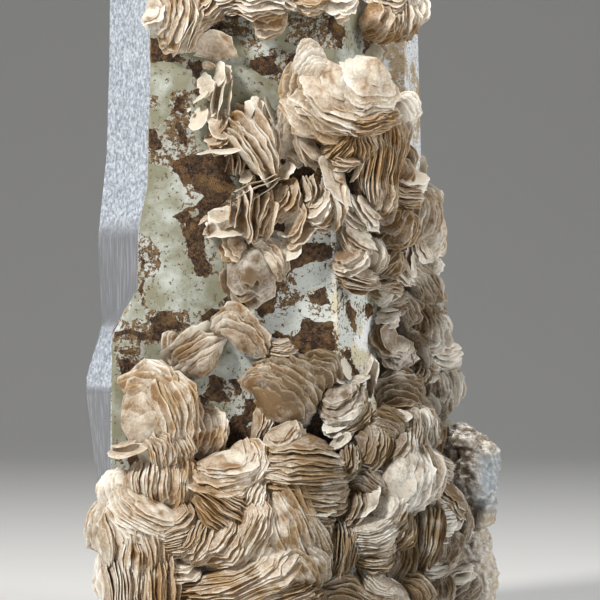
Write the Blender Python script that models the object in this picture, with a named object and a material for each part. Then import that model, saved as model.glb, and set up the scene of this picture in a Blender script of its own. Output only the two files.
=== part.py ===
"""Two quartz crystals grown side by side, overgrown by calcite rosettes.

The tall crystals stand on the flat cut where they left the rock, and each rosette is a stack of thin
calcite plates that fans out of the quartz. Rosettes that grew into each other are one solid.
X runs to the right, Y away from the viewer and Z up. The origin is the middle of the front crystal's cut.
"""

import math
import random

import bpy
from mathutils import Matrix, Vector

MM = 0.001
GAP = 0.3  # clearance between a calcite solid and the quartz that it grew on

FACE_DEPTH = 12.0  # front crystal, from its axis to its broad front face
SHOULDER = 99.0  # height where the prism faces end and the point begins
FRONT_TIP = 115.0
REAR_SHOULDER = 97.5
REAR_TIP = 108.0

PIVOT = 1.1  # a fan's plates turn about a line this many reaches behind their middle
ROOT_SHARE = 0.62  # how far a plate runs back towards its root, as a share of its reach
GROOVE = 0.7  # radius between two ledges, as a share of the ledges' own
END_ROUNDING = 0.2  # how much smaller a stack's outermost ledge is
RAGGED = 0.07  # how far a ledge's outline wanders, as a share of its radius
CROWN = 0.12  # how far a pile's end faces bulge, as a share of its thickness
LEDGE_PITCH = 3.6  # thickness of the pile that shows as one more ledge
LEDGE_RAGGED = 0.03  # how far one ledge's corner wanders from those above and below it

QUARTZ = ("bare quartz", (0.80, 0.83, 0.87, 1.0), 0.35)
CALCITE = ("cream calcite", (0.78, 0.66, 0.50, 1.0), 0.55)


# Clearing the scene and the two materials

for old in list(bpy.data.objects):
    bpy.data.objects.remove(old)


def material(name, colour, roughness):
    made = bpy.data.materials.new(name)
    made.use_nodes = True
    shader = made.node_tree.nodes["Principled BSDF"]
    shader.inputs["Base Color"].default_value = colour
    shader.inputs["Roughness"].default_value = roughness
    shader.inputs["Metallic"].default_value = 0.0
    made.diffuse_color = colour
    return made


quartz = material(*QUARTZ)
calcite = material(*CALCITE)


def solid(name, points, faces, finish):
    """One object from points in millimetres."""
    mesh = bpy.data.meshes.new(name)
    mesh.from_pydata([Vector(p) * MM for p in points], [], faces)
    mesh.materials.append(finish)
    made = bpy.data.objects.new(name, mesh)
    bpy.context.scene.collection.objects.link(made)
    return made


def helper(made):
    """A cutter or a shape that is only joined to another: it is no part by itself."""
    made.hide_render = True
    made.display_type = "WIRE"
    return made


def boolean(target, operation, tool):
    step = target.modifiers.new(operation.lower(), "BOOLEAN")
    step.operation = operation
    step.solver = "EXACT"
    step.object = tool


# The quartz: six-sided prisms whose corner edges run through hand-set points

# Each edge is a list of (x, y, z) from the cut up to the shoulder. The left face of the front
# crystal has a growth step, so its two edges swing out below it, the outer one further down.
FRONT_EDGES = {
    "front_left": [
        (-19.0, -FACE_DEPTH, 0), (-19.4, -FACE_DEPTH, 22), (-19.4, -FACE_DEPTH, 37),
        (-19.0, -FACE_DEPTH, 46), (-15.4, -FACE_DEPTH, 52.8), (-15.3, -FACE_DEPTH, 61),
        (-14.0, -FACE_DEPTH, 68), (-13.6, -FACE_DEPTH, 82), (-13.4, -FACE_DEPTH, SHOULDER + 1.5),
    ],
    "front_right": [
        (14.8, -FACE_DEPTH, 0), (14.7, -FACE_DEPTH, 22), (14.6, -FACE_DEPTH, 37),
        (14.5, -FACE_DEPTH, 46), (14.5, -FACE_DEPTH, 52.8), (14.4, -FACE_DEPTH, 61),
        (14.3, -FACE_DEPTH, 68), (14.1, -FACE_DEPTH, 82), (13.9, -FACE_DEPTH, SHOULDER),
    ],
    "right": [
        (21.0, -1.0, 0), (21.0, -1.0, 22), (20.9, -1.0, 37), (20.9, -1.0, 46),
        (20.8, -1.0, 52.8), (20.8, -1.0, 61), (20.7, -1.0, 68), (20.4, -1.0, 82),
        (20.1, -1.0, SHOULDER - 3),
    ],
    "back_right": [
        (14.6, 10.2, 0), (14.5, 10.1, 22), (14.5, 10.0, 37), (14.4, 10.0, 46),
        (14.4, 10.0, 52.8), (14.3, 9.9, 61), (14.2, 9.8, 68), (14.0, 9.7, 82),
        (13.8, 9.5, SHOULDER - 1),
    ],
    "back_left": [
        (-16.6, 12.2, 0), (-16.8, 12.2, 22), (-17.0, 12.1, 35), (-16.6, 12.0, 43),
        (-14.6, 11.9, 50), (-14.5, 11.8, 61), (-13.9, 11.7, 68), (-13.6, 11.6, 82),
        (-13.4, 11.4, SHOULDER + 2),
    ],
    "left": [
        (-21.2, -4.8, 0), (-21.6, -4.8, 21), (-23.5, -4.6, 36.6), (-23.5, -4.5, 39.4),
        (-21.3, -1.9, 47.2), (-22.0, -1.6, 60), (-20.7, -0.8, 73), (-20.3, -0.4, 87),
        (-20.2, -0.3, SHOULDER - 2),
    ],
}
FRONT_RIDGE = [(-4.2, 0.4, FRONT_TIP), (4.6, -0.8, FRONT_TIP - 2.4)]

REAR_EDGES = {
    "front_left": [(6.5, 2.4, 0), (6.5, 2.2, 50), (6.8, 2.0, REAR_SHOULDER)],
    "front_right": [(26.0, 3.2, 0), (25.6, 3.1, 50), (25.0, 3.0, REAR_SHOULDER)],
    "right": [(29.4, 10.4, 0), (28.6, 10.2, 50), (27.4, 10.0, REAR_SHOULDER - 2)],
    "back_right": [(25.6, 21.6, 0), (25.0, 21.3, 50), (24.2, 21.0, REAR_SHOULDER + 1)],
    "back_left": [(8.2, 23.0, 0), (8.4, 22.6, 50), (8.8, 22.2, REAR_SHOULDER)],
    "left": [(2.2, 12.6, 0), (2.6, 12.5, 50), (3.2, 12.4, REAR_SHOULDER - 1)],
}
REAR_RIDGE = [(14.6, 12.6, REAR_TIP - 1.2), (17.8, 12.0, REAR_TIP)]

LEFT_SIDE = {"left", "front_left", "back_left"}
PRISM_SECTOR = math.radians(30)  # half of what one side of a hexagon takes
POINT_GROWTH = 1.5
FOOT_GROWTH = 10


def crystal(name, edges, ridge, grow=0.0):
    """A prism through the six edges, closed by a point whose faces meet in a short ridge.

    grow moves every side outwards. It also runs the point on by POINT_GROWTH times as much, and the
    foot on well past the cut. That makes the cutter for the clearance round the crystal.
    """
    names = list(edges)
    levels = len(edges[names[0]])
    middle = [
        sum((Vector(edges[n][k]) for n in names), Vector()) / len(names) for k in range(levels)
    ]
    points = []
    for k in range(levels):
        for n in names:
            corner = Vector(edges[n][k])
            away = (corner - middle[k]) * Vector((1, 1, 0))
            corner += away.normalized() * grow / math.cos(PRISM_SECTOR)
            if k == 0:
                corner.z -= FOOT_GROWTH * grow
            points.append(corner)
    ends = [Vector(p) + Vector((0, 0, POINT_GROWTH * grow)) for p in ridge]
    points += ends
    left_end, right_end = len(points) - 2, len(points) - 1
    count = len(names)
    faces = [tuple(range(count))[::-1]]
    for k in range(levels - 1):
        for i in range(count):
            j = (i + 1) % count
            low, high = k * count, (k + 1) * count
            faces.append((low + i, low + j, high + j, high + i))
    top = (levels - 1) * count
    for i, n in enumerate(names):
        j = (i + 1) % count
        first = left_end if n in LEFT_SIDE else right_end
        second = left_end if names[j] in LEFT_SIDE else right_end
        faces.append((top + i, top + j, second, first) if first != second else (top + i, top + j, first))
    return solid(name, points, faces, quartz)


front_crystal = crystal("quartz_front_crystal", FRONT_EDGES, FRONT_RIDGE)
rear_crystal = crystal("quartz_rear_crystal", REAR_EDGES, REAR_RIDGE)
front_clearance = helper(crystal("front_crystal_clearance", FRONT_EDGES, FRONT_RIDGE, GAP))
rear_clearance = helper(crystal("rear_crystal_clearance", REAR_EDGES, REAR_RIDGE, GAP))
boolean(rear_crystal, "DIFFERENCE", front_clearance)


# What lies under the cut is taken off every calcite solid that reaches it

CUT_HALF = 80.0
CUT_DEEP = 40.0
cut_corners = [
    (x, y, z) for z in (-CUT_DEEP, 0.0) for y in (-CUT_HALF, CUT_HALF) for x in (-CUT_HALF, CUT_HALF)
]
cut_faces = [(0, 2, 3, 1), (4, 5, 7, 6), (0, 1, 5, 4), (1, 3, 7, 5), (3, 2, 6, 7), (2, 0, 4, 6)]
under_the_cut = helper(solid("under_the_cut", cut_corners, cut_faces, quartz))


# One rosette: a stack of ledges, each the rim of a bundle of plates


def rosette(x, y, z, reach, spread, stack, trace, face, fan=18, cup=0.0, sides=6, yaw=0):
    """Points and faces of one rosette, in millimetres.

    x, y, z is its middle. Its plates reach that far out of the root and spread that far to either
    side, and stack is the thickness of the pile. trace is the direction of the plates' edges as the
    viewer sees them, in degrees from the horizontal, and face is how far the plates turn from edge-on
    to facing the viewer. fan is the angle between the first and the last plate, and cup bends the
    rims back. yaw turns the whole rosette about the upright axis, for the sides that the viewer
    doesn't see.
    """
    chance = random.Random(f"{x} {y} {z}")
    trace, face = math.radians(trace), math.radians(face)
    along = Vector((math.cos(trace), 0, math.sin(trace)))
    across = Vector((-math.sin(trace), 0, math.cos(trace)))
    viewer = Vector((0, -1, 0))
    normal = across * math.cos(face) + viewer * math.sin(face)
    out = viewer * math.cos(face) - across * math.sin(face)
    turn = Matrix.Rotation(math.radians(yaw), 3, "Z")
    normal, out = turn @ normal, turn @ out
    side = normal.cross(out)
    middle = Vector((x, y, z))
    pivot = middle - out * reach * PIVOT
    corner = 1 / math.sqrt(math.cos(math.pi / sides))  # keeps the area of the round plate
    wander = [corner * (1 + RAGGED * chance.uniform(-1, 1)) for _ in range(sides)]
    rings = 1 + 2 * round(stack / LEDGE_PITCH)
    points, faces = [], []
    for k in range(rings):
        t = -1 + 2 * k / (rings - 1) if rings > 1 else 0
        fanned = Matrix.Rotation(-math.radians(fan) / 2 * t, 3, side)
        out_k, normal_k = fanned @ out, fanned @ normal
        centre = pivot + out_k * reach * PIVOT + normal * stack / 2 * t
        size = (1 - END_ROUNDING * t * t) * (1.0 if k % 2 == 0 else GROOVE)
        for s in range(sides):
            angle = 2 * math.pi * (s + 0.5 * (k % 2)) / sides
            forward = math.cos(angle)
            share = reach * (forward if forward > 0 else forward * ROOT_SHARE)
            radius = size * wander[s] * (1 + LEDGE_RAGGED * chance.uniform(-1, 1))
            points.append(
                centre + radius * (out_k * share + side * spread * math.sin(angle)) - normal_k * cup
            )
        if k == 0:
            points.append(centre - normal_k * CROWN * stack)
        if k == rings - 1:
            points.append(centre + normal_k * CROWN * stack)
    ring = [k * sides + (1 if k > 0 else 0) for k in range(rings)]
    for s in range(sides):
        r = (s + 1) % sides
        faces.append((ring[0] + r, ring[0] + s, sides))
        faces.append((ring[-1] + s, ring[-1] + r, len(points) - 1))
        for k in range(rings - 1):
            a, b = ring[k], ring[k + 1]
            if k % 2 == 0:
                faces += [(a + s, a + r, b + s), (a + r, b + r, b + s)]
            else:
                faces += [(a + s, b + r, b + s), (a + s, a + r, b + r)]
    return points, faces


def lump(x, y, z, wide, deep, tall, sides=8, rings=4):
    """Points and faces of a rounded lump, the massive calcite between the rosettes' roots."""
    chance = random.Random(f"{x} {y} {z}")
    points = [(x, y, z - tall)]
    for k in range(1, rings):
        lift = math.pi * k / rings
        for s in range(sides):
            angle = 2 * math.pi * (s + 0.5 * (k % 2)) / sides
            size = math.sin(lift) * (1 + RAGGED * chance.uniform(-1, 1))
            points.append((
                x + wide * size * math.cos(angle),
                y + deep * size * math.sin(angle),
                z - tall * math.cos(lift),
            ))
    points.append((x, y, z + tall))
    top = len(points) - 1
    faces = []
    for s in range(sides):
        r = (s + 1) % sides
        faces.append((0, 1 + r, 1 + s))
        faces.append((top, top - sides + s, top - sides + r))
        for k in range(rings - 2):
            a, b = 1 + k * sides, 1 + (k + 1) * sides
            if k % 2 == 0:
                faces += [(a + s, a + r, b + s), (a + r, b + r, b + s)]
            else:
                faces += [(a + s, b + r, b + s), (a + s, a + r, b + r)]
    return points, faces


def calcite_solid(name, shapes, cutters):
    """Joins the shapes into one solid, and takes the quartz and the cut off it."""
    first, *others = shapes
    made = solid(name, *first, calcite)
    for k, shape in enumerate(others):
        boolean(made, "UNION", helper(solid(f"{name}_{k}", *shape, calcite)))
    for cutter in cutters:
        boolean(made, "DIFFERENCE", cutter)
    return made


# Rosettes and blades that stand apart on the front crystal

calcite_solid("calcite_left_blades", [
    rosette(-10.6, -14.0, 94.6, 3.2, 6.2, 7.0, 82, 30, fan=25),
    rosette(-7.4, -14.6, 90.6, 3.0, 3.4, 1.8, 72, 8),
], [front_clearance])

calcite_solid("calcite_half_moon", [
    rosette(-3.4, -13.8, 87.2, 3.0, 4.8, 1.9, 8, -58, sides=8),
], [front_clearance])

calcite_solid("calcite_upright_sheets", [
    rosette(-2.2, -14.2, 81.8, 2.8, 3.0, 1.9, 92, 8),
], [front_clearance])

calcite_solid("calcite_white_triangle", [
    rosette(-6.8, -13.6, 77.8, 2.6, 2.8, 1.6, 55, 60),
], [front_clearance])

calcite_solid("calcite_left_fan", [
    rosette(-2.4, -13.8, 75.6, 3.0, 3.0, 3.0, 60, 58),
    rosette(-2.0, -15.2, 73.7, 3.0, 3.2, 1.2, 2, 4),
    rosette(3.0, -14.6, 72.4, 3.2, 4.4, 3.0, -60, 10, fan=24),
], [front_clearance])

calcite_solid("calcite_top_middle_blades", [
    rosette(0.8, -14.6, 97.2, 4.0, 6.5, 4.0, 5, 35),
    rosette(4.2, -13.6, 93.2, 3.0, 3.0, 2.0, 10, 68),
], [front_clearance])

calcite_solid("calcite_top_brown_disc", [
    rosette(11.0, -13.8, 96.0, 3.2, 3.0, 2.2, 0, 64),
], [front_clearance])

calcite_solid("calcite_top_point", [
    rosette(16.0, -13.0, 96.8, 3.2, 1.8, 1.7, 0, 58),
], [front_clearance])

calcite_solid("calcite_top_right_discs", [
    rosette(21.6, -6.0, 92.8, 3.4, 3.4, 3.2, 80, 40),
    rosette(23.2, -3.4, 97.6, 3.6, 3.4, 3.4, 20, 50),
    rosette(20.2, -7.4, 89.2, 2.0, 1.9, 1.6, 80, 50),
], [front_clearance, rear_clearance])

calcite_solid("calcite_upper_rosette", [
    rosette(16.8, -17.0, 84.2, 5.6, 6.4, 8.0, -24, 26, cup=1.6, sides=9),
    rosette(11.8, -16.0, 81.2, 4.6, 5.4, 5.0, -38, 40, cup=1.2),
    rosette(9.0, -14.4, 83.6, 3.6, 3.8, 3.0, -78, 45),
    rosette(9.8, -13.8, 76.6, 3.6, 5.6, 3.0, -22, -36),
    rosette(2.4, -14.4, 79.6, 2.4, 2.6, 1.4, 82, 55),
    rosette(5.2, -14.2, 78.8, 2.6, 3.4, 1.4, -66, 12),
    rosette(22.4, -9.0, 79.2, 3.4, 3.0, 3.2, -60, 35),
    rosette(19.6, -12.4, 78.6, 4.2, 4.2, 4.2, -70, 20),
    rosette(20.0, -10.2, 71.4, 4.6, 6.0, 5.4, 86, 6, fan=14),
], [front_clearance])

calcite_solid("calcite_middle_rosettes", [
    rosette(3.2, -14.8, 64.8, 3.8, 4.6, 4.2, 55, 20, cup=0.8),
    rosette(-2.4, -14.2, 63.2, 2.8, 3.3, 2.6, 20, 35),
    rosette(-2.0, -14.8, 60.4, 2.8, 3.0, 1.4, 3, 20),
    rosette(7.6, -14.2, 66.2, 3.6, 4.0, 4.0, -30, 45),
    rosette(10.9, -15.0, 66.4, 3.6, 3.8, 1.8, 84, 8),
    rosette(14.0, -15.2, 66.6, 3.8, 3.8, 2.6, -52, 50),
    rosette(12.4, -14.2, 71.0, 3.0, 3.6, 1.8, 0, 15, cup=1.2),
    rosette(12.0, -14.0, 61.8, 2.8, 3.0, 2.0, -8, 25),
    rosette(7.4, -13.8, 60.8, 2.8, 2.9, 1.7, 35, 50),
], [front_clearance])

calcite_solid("calcite_edge_rosette", [
    rosette(18.4, -11.8, 59.4, 3.4, 4.2, 4.0, -60, 30),
    rosette(18.6, -11.4, 56.0, 3.0, 3.2, 3.0, -12, 20),
], [front_clearance])

calcite_solid("calcite_grey_disc", [
    rosette(2.0, -14.2, 55.2, 4.8, 4.2, 3.0, 0, 70, sides=9),
], [front_clearance])

calcite_solid("calcite_tan_fan", [
    rosette(0.6, -14.8, 45.2, 3.4, 4.9, 2.6, -38, 46, sides=8),
], [front_clearance])

calcite_solid("calcite_crescent", [
    rosette(-6.6, -14.4, 43.2, 3.2, 4.4, 3.2, 35, 44, cup=0.8, sides=8),
    rosette(-9.6, -13.4, 44.4, 2.0, 2.3, 1.6, 60, 48),
], [front_clearance])

calcite_solid("calcite_shell_dome", [
    rosette(6.4, -16.4, 37.4, 4.8, 5.9, 6.0, -12, 28, cup=1.4, sides=9),
    rosette(7.0, -14.4, 41.6, 3.0, 2.6, 2.0, 0, 56),
], [front_clearance])

calcite_solid("calcite_right_plates", [
    rosette(12.6, -15.0, 40.2, 3.4, 3.4, 2.8, -60, 56),
    rosette(16.2, -14.2, 40.0, 2.8, 3.4, 1.6, -48, 30),
    rosette(15.6, -15.0, 36.0, 3.4, 4.2, 3.8, 22, 40),
], [front_clearance])


# The crust on the right: rounded rosettes crowded onto the side faces of both crystals

calcite_solid("calcite_right_crust", [
    rosette(24.6, -4.4, 64.4, 5.2, 5.4, 8.2, -50, 34, cup=1.4, sides=9),
    rosette(24.8, -3.6, 69.2, 4.2, 4.2, 2.2, -12, 20),
    rosette(27.6, 0.6, 65.4, 4.0, 4.0, 3.6, 70, 30),
    rosette(28.4, 1.8, 60.4, 3.6, 3.6, 3.4, 60, 30),
    rosette(25.4, -1.8, 58.2, 3.4, 3.4, 3.0, 30, 40),
    rosette(26.4, -0.6, 54.2, 3.6, 4.6, 3.4, -52, 34),
    rosette(28.8, 2.8, 52.8, 3.8, 4.0, 4.0, 80, 36),
    rosette(23.0, -2.6, 51.6, 2.8, 2.8, 2.4, -30, 50),
    rosette(22.8, -2.6, 47.8, 2.8, 3.0, 2.6, 8, 28),
    rosette(27.4, 0.6, 47.8, 3.6, 3.8, 3.6, -56, 40),
    rosette(30.4, 4.6, 46.6, 3.4, 3.4, 3.8, 66, 36),
    rosette(24.2, -2.2, 43.2, 3.8, 3.6, 4.0, 0, 66),
    rosette(28.4, 0.8, 41.8, 3.4, 3.4, 3.4, -20, 40),
    rosette(31.2, 4.4, 41.6, 3.4, 3.4, 3.8, 10, 30),
    rosette(24.8, -2.4, 37.0, 4.0, 4.2, 4.2, -8, 58),
    rosette(28.6, 1.2, 36.8, 3.4, 3.4, 3.4, 76, 40),
    rosette(31.2, 4.8, 37.2, 3.2, 3.4, 3.6, 60, 38),
    rosette(30.8, 1.4, 34.0, 3.2, 2.4, 1.6, 12, 8),
], [front_clearance, rear_clearance])


calcite_solid("calcite_small_disc", [
    rosette(-5.0, -14.8, 31.4, 3.6, 3.2, 2.6, 70, 52, sides=8),
], [front_clearance])


# The mass round the foot, where the rosettes grew into each other and on down to the cut

calcite_solid("calcite_foot_mass", [
    lump(-13.2, -16.2, 12.6, 10.2, 5.6, 15.2),
    lump(2.0, -15.4, 12.0, 9.6, 4.6, 14.0),
    lump(16.6, -14.0, 13.2, 8.4, 4.6, 15.0),
    rosette(-13.6, -16.8, 34.0, 6.0, 7.2, 9.0, -58, 34, cup=2.0, sides=9),
    rosette(-15.6, -18.4, 32.0, 4.6, 5.0, 6.0, -32, 46),
    rosette(-11.8, -18.2, 23.6, 4.8, 4.8, 7.2, 84, 30, cup=1.0),
    rosette(-19.2, -16.4, 23.8, 4.8, 4.6, 5.4, 50, 36),
    rosette(-12.6, -19.0, 19.6, 4.8, 6.0, 4.0, -24, 15),
    rosette(-18.6, -17.4, 14.4, 5.4, 7.4, 8.0, 88, 16, sides=9),
    rosette(-13.2, -19.0, 9.0, 5.2, 7.6, 6.4, 86, 10),
    rosette(-19.4, -17.0, 6.6, 4.6, 6.0, 5.0, 78, 40),
    rosette(-1.2, -18.0, 26.0, 5.2, 5.5, 5.2, 6, 12, fan=26),
    rosette(-1.6, -18.6, 20.8, 4.8, 5.0, 4.6, -16, 8),
    rosette(-7.2, -19.6, 15.6, 5.0, 4.8, 6.6, 24, 10),
    rosette(0.2, -19.8, 16.0, 5.2, 5.6, 7.2, 52, 12),
    rosette(7.4, -18.6, 14.8, 5.6, 8.2, 8.0, -62, 22, cup=1.2, sides=9),
    rosette(1.0, -20.0, 8.4, 5.8, 10.5, 6.2, 14, 18, sides=9),
    rosette(0.0, -18.6, 1.6, 5.8, 12.0, 6.0, 6, 10),
    rosette(9.8, -18.0, 27.2, 5.0, 6.1, 5.8, -4, 14),
    rosette(11.8, -16.8, 20.4, 4.4, 5.0, 6.6, 0, 6),
    rosette(14.2, -16.4, 12.8, 4.2, 5.0, 3.4, 86, 6),
    rosette(14.0, -16.0, 5.2, 4.8, 6.6, 5.4, 10, 24),
    rosette(20.2, -15.0, 27.4, 4.8, 5.0, 6.6, -50, 34),
    rosette(18.8, -16.8, 22.6, 4.0, 3.8, 4.2, 50, 20),
    rosette(24.4, -15.0, 22.4, 5.0, 6.2, 8.0, -66, 42, cup=1.2, sides=9),
    rosette(20.2, -16.6, 16.4, 4.8, 5.6, 5.2, 12, 15),
    rosette(20.0, -15.4, 11.4, 4.4, 3.4, 5.2, -2, 6),
    rosette(22.4, -14.0, 5.2, 5.4, 6.8, 5.8, -20, 20),
], [front_clearance, rear_clearance, under_the_cut])

calcite_solid("calcite_right_mass", [
    rosette(26.2, -8.6, 30.0, 4.6, 5.0, 5.2, -76, 24),
    rosette(22.0, -10.2, 31.8, 3.6, 3.4, 3.2, -20, 44),
    rosette(29.2, -6.6, 25.8, 4.0, 3.2, 4.2, -32, 10),
    rosette(30.4, -4.4, 21.6, 4.0, 4.2, 3.2, -62, 24),
    rosette(27.6, -9.2, 15.6, 4.4, 5.2, 3.4, 84, 16),
    rosette(30.4, -6.8, 15.2, 4.2, 3.2, 7.0, 4, 14),
    rosette(30.0, -6.2, 5.0, 5.0, 6.0, 6.4, 80, 26),
], [front_clearance, rear_clearance, under_the_cut])


# The lumpy frosted cluster at the lower right

calcite_solid("frosted_cluster", [
    lump(35.6, 6.4, 24.0, 4.9, 6.8, 8.4),
    lump(34.6, 5.0, 29.0, 4.0, 5.0, 3.2),
    lump(36.2, 6.6, 8.6, 4.0, 6.4, 9.6),
], [rear_clearance, under_the_cut])


# The sides that face away: a lower mass and a few rosettes higher up

calcite_solid("calcite_back_mass", [
    rosette(-14.0, 15.4, 8.0, 5.0, 7.0, 7.0, 80, 20, yaw=170),
    rosette(-11.0, 15.6, 17.0, 4.6, 5.0, 6.0, -40, 30, yaw=185),
    rosette(-5.0, 16.0, 5.0, 5.0, 7.0, 8.0, 10, 20, yaw=180),
    rosette(-3.4, 15.2, 13.6, 4.2, 4.6, 5.0, 50, 30, yaw=180),
], [front_clearance, rear_clearance, under_the_cut])

calcite_solid("calcite_rear_mass", [
    rosette(12.0, 25.4, 7.0, 5.0, 7.0, 7.0, 80, 20, yaw=180),
    rosette(19.6, 25.0, 6.0, 5.0, 6.6, 7.4, 8, 24, yaw=180),
    rosette(16.6, 25.2, 13.2, 5.0, 6.2, 7.4, -34, 30, yaw=180),
    rosette(26.4, 22.2, 7.6, 5.0, 6.2, 6.8, 70, 24, yaw=135),
    rosette(29.4, 17.0, 12.8, 4.8, 5.6, 6.4, -50, 30, yaw=105),
], [rear_clearance, under_the_cut])

calcite_solid("calcite_back_rosette_low", [
    rosette(-7.4, 14.0, 41.0, 4.2, 5.0, 5.0, -30, 30, yaw=180),
    rosette(-2.6, 13.6, 37.0, 3.6, 4.0, 4.0, 50, 36, yaw=180),
], [front_clearance, rear_clearance])

calcite_solid("calcite_back_rosette_high", [
    rosette(-8.6, 13.6, 74.0, 4.0, 4.6, 4.6, 66, 36, yaw=180),
], [front_clearance])

calcite_solid("calcite_rear_rosette_low", [
    rosette(20.6, 24.0, 42.0, 4.2, 4.8, 5.2, 20, 34, yaw=175),
    rosette(15.8, 24.2, 46.2, 3.8, 4.2, 4.0, -48, 36, yaw=180),
], [rear_clearance])

calcite_solid("calcite_rear_rosette_high", [
    rosette(13.0, 24.2, 72.0, 4.0, 4.6, 4.8, -60, 30, yaw=185),
], [rear_clearance])

calcite_solid("calcite_rear_side_crust", [
    rosette(29.2, 13.0, 61.0, 3.6, 4.0, 4.0, 70, 34, yaw=90),
    rosette(28.8, 14.6, 55.2, 3.4, 3.8, 3.8, -30, 40, yaw=100),
    rosette(29.2, 13.6, 50.4, 3.6, 4.2, 4.2, 20, 44, yaw=92),
], [rear_clearance])
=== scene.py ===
"""Calcite with quartz: two quartz crystals overgrown by rosettes of thin calcite plates."""

import math
import random

import bmesh
import bpy
from mathutils import Matrix, Vector, geometry, kdtree
from mathutils.bvhtree import BVHTree


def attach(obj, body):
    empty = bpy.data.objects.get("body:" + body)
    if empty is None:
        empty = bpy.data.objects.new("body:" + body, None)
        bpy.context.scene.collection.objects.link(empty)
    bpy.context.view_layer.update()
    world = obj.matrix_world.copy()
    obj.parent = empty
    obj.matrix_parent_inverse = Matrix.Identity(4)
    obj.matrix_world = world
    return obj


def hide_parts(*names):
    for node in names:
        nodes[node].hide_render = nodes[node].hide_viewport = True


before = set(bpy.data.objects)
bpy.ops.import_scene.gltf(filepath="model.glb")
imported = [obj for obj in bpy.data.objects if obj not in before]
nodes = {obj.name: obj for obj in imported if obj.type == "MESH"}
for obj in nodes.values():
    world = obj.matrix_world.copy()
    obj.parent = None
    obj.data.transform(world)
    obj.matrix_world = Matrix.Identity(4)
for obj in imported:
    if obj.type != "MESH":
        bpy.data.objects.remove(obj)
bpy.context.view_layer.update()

# The studio: a pale sweep that runs from under the specimen up behind it, a large soft key light
# at the upper left, a broad fill on the right, and a camera that looks level at the crystals.

MM = 0.001
CAMERA_AWAY = 480 * MM
VIEW_HEIGHT = 90 * MM  # what the picture spans at the front crystal's broad face
FACE_Y = -12 * MM
VIEW_MIDDLE = Vector((9 * MM, FACE_Y, 51 * MM))


def add_object(name, data):
    """An object in the scene that shows this mesh, lamp or camera."""
    made = bpy.data.objects.new(name, data)
    bpy.context.scene.collection.objects.link(made)
    return made


def soft_light(name, place, aim, size, power, colour):
    """A round soft box at that place, turned to the aim. Metres and watts."""
    lamp = bpy.data.lights.new(name, "AREA")
    lamp.shape = "DISK"
    lamp.size = size
    lamp.energy = power
    lamp.color = colour
    holder = add_object(name, lamp)
    holder.location = place
    holder.rotation_euler = (Vector(aim) - Vector(place)).to_track_quat("-Z", "Y").to_euler()


LIT = (0, 0, 0.05)  # what all three lights aim at
soft_light("key_light", (-0.34, -0.34, 0.42), LIT, 0.12, 3.5, (1.0, 0.975, 0.94))
soft_light("fill_light", (0.46, -0.26, 0.20), LIT, 0.24, 1.7, (1.0, 0.99, 0.98))
soft_light("top_light", (0.02, 0.02, 0.46), LIT, 0.20, 0.9, (1.0, 1.0, 1.0))

world = bpy.data.worlds.new("studio air")
world.use_nodes = True
air = world.node_tree.nodes["Background"]
air.inputs["Color"].default_value = (0.80, 0.83, 0.88, 1)
air.inputs["Strength"].default_value = 0.09
bpy.context.scene.world = world
bpy.context.scene.view_settings.view_transform = "Standard"

SWEEP_WIDE = 3.0
SWEEP_FRONT = -1.6
SWEEP_TURN = 0.55  # how far behind the specimen the floor starts to rise
SWEEP_RADIUS = 0.6
SWEEP_TOP = 2.0
SWEEP_STEPS = 16
profile = [(SWEEP_FRONT, 0.0)]
for step in range(SWEEP_STEPS + 1):
    angle = math.pi / 2 * step / SWEEP_STEPS
    profile.append((
        SWEEP_TURN + SWEEP_RADIUS * math.sin(angle), SWEEP_RADIUS - SWEEP_RADIUS * math.cos(angle),
    ))
profile.append((SWEEP_TURN + SWEEP_RADIUS, SWEEP_TOP))
sweep_mesh = bpy.data.meshes.new("studio_sweep")
sweep_mesh.from_pydata(
    [(side * SWEEP_WIDE, y, z) for y, z in profile for side in (-1, 1)], [],
    [(2 * k, 2 * k + 1, 2 * k + 3, 2 * k + 2) for k in range(len(profile) - 1)],
)
sweep_mesh.shade_smooth()
sweep = add_object("studio_sweep", sweep_mesh)
paper = bpy.data.materials.new("pale paper")
paper.use_nodes = True
paper_shader = paper.node_tree.nodes["Principled BSDF"]
paper_shader.inputs["Base Color"].default_value = (0.72, 0.72, 0.71, 1)
paper_shader.inputs["Roughness"].default_value = 0.9
sweep_mesh.materials.append(paper)

camera_data = bpy.data.cameras.new("camera")
camera_data.angle = 2 * math.atan(VIEW_HEIGHT / 2 / CAMERA_AWAY)
camera_data.clip_start = 0.01
camera = add_object("camera", camera_data)
camera.location = VIEW_MIDDLE - Vector((0, CAMERA_AWAY, 0))
camera.rotation_euler = (math.radians(90), 0, 0)
bpy.context.scene.camera = camera


# The quartz: clear prisms, frosted down the left side of the front one. Its broad front face has a
# thin pale coat, which broke away in patches that brown grains fill.


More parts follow.
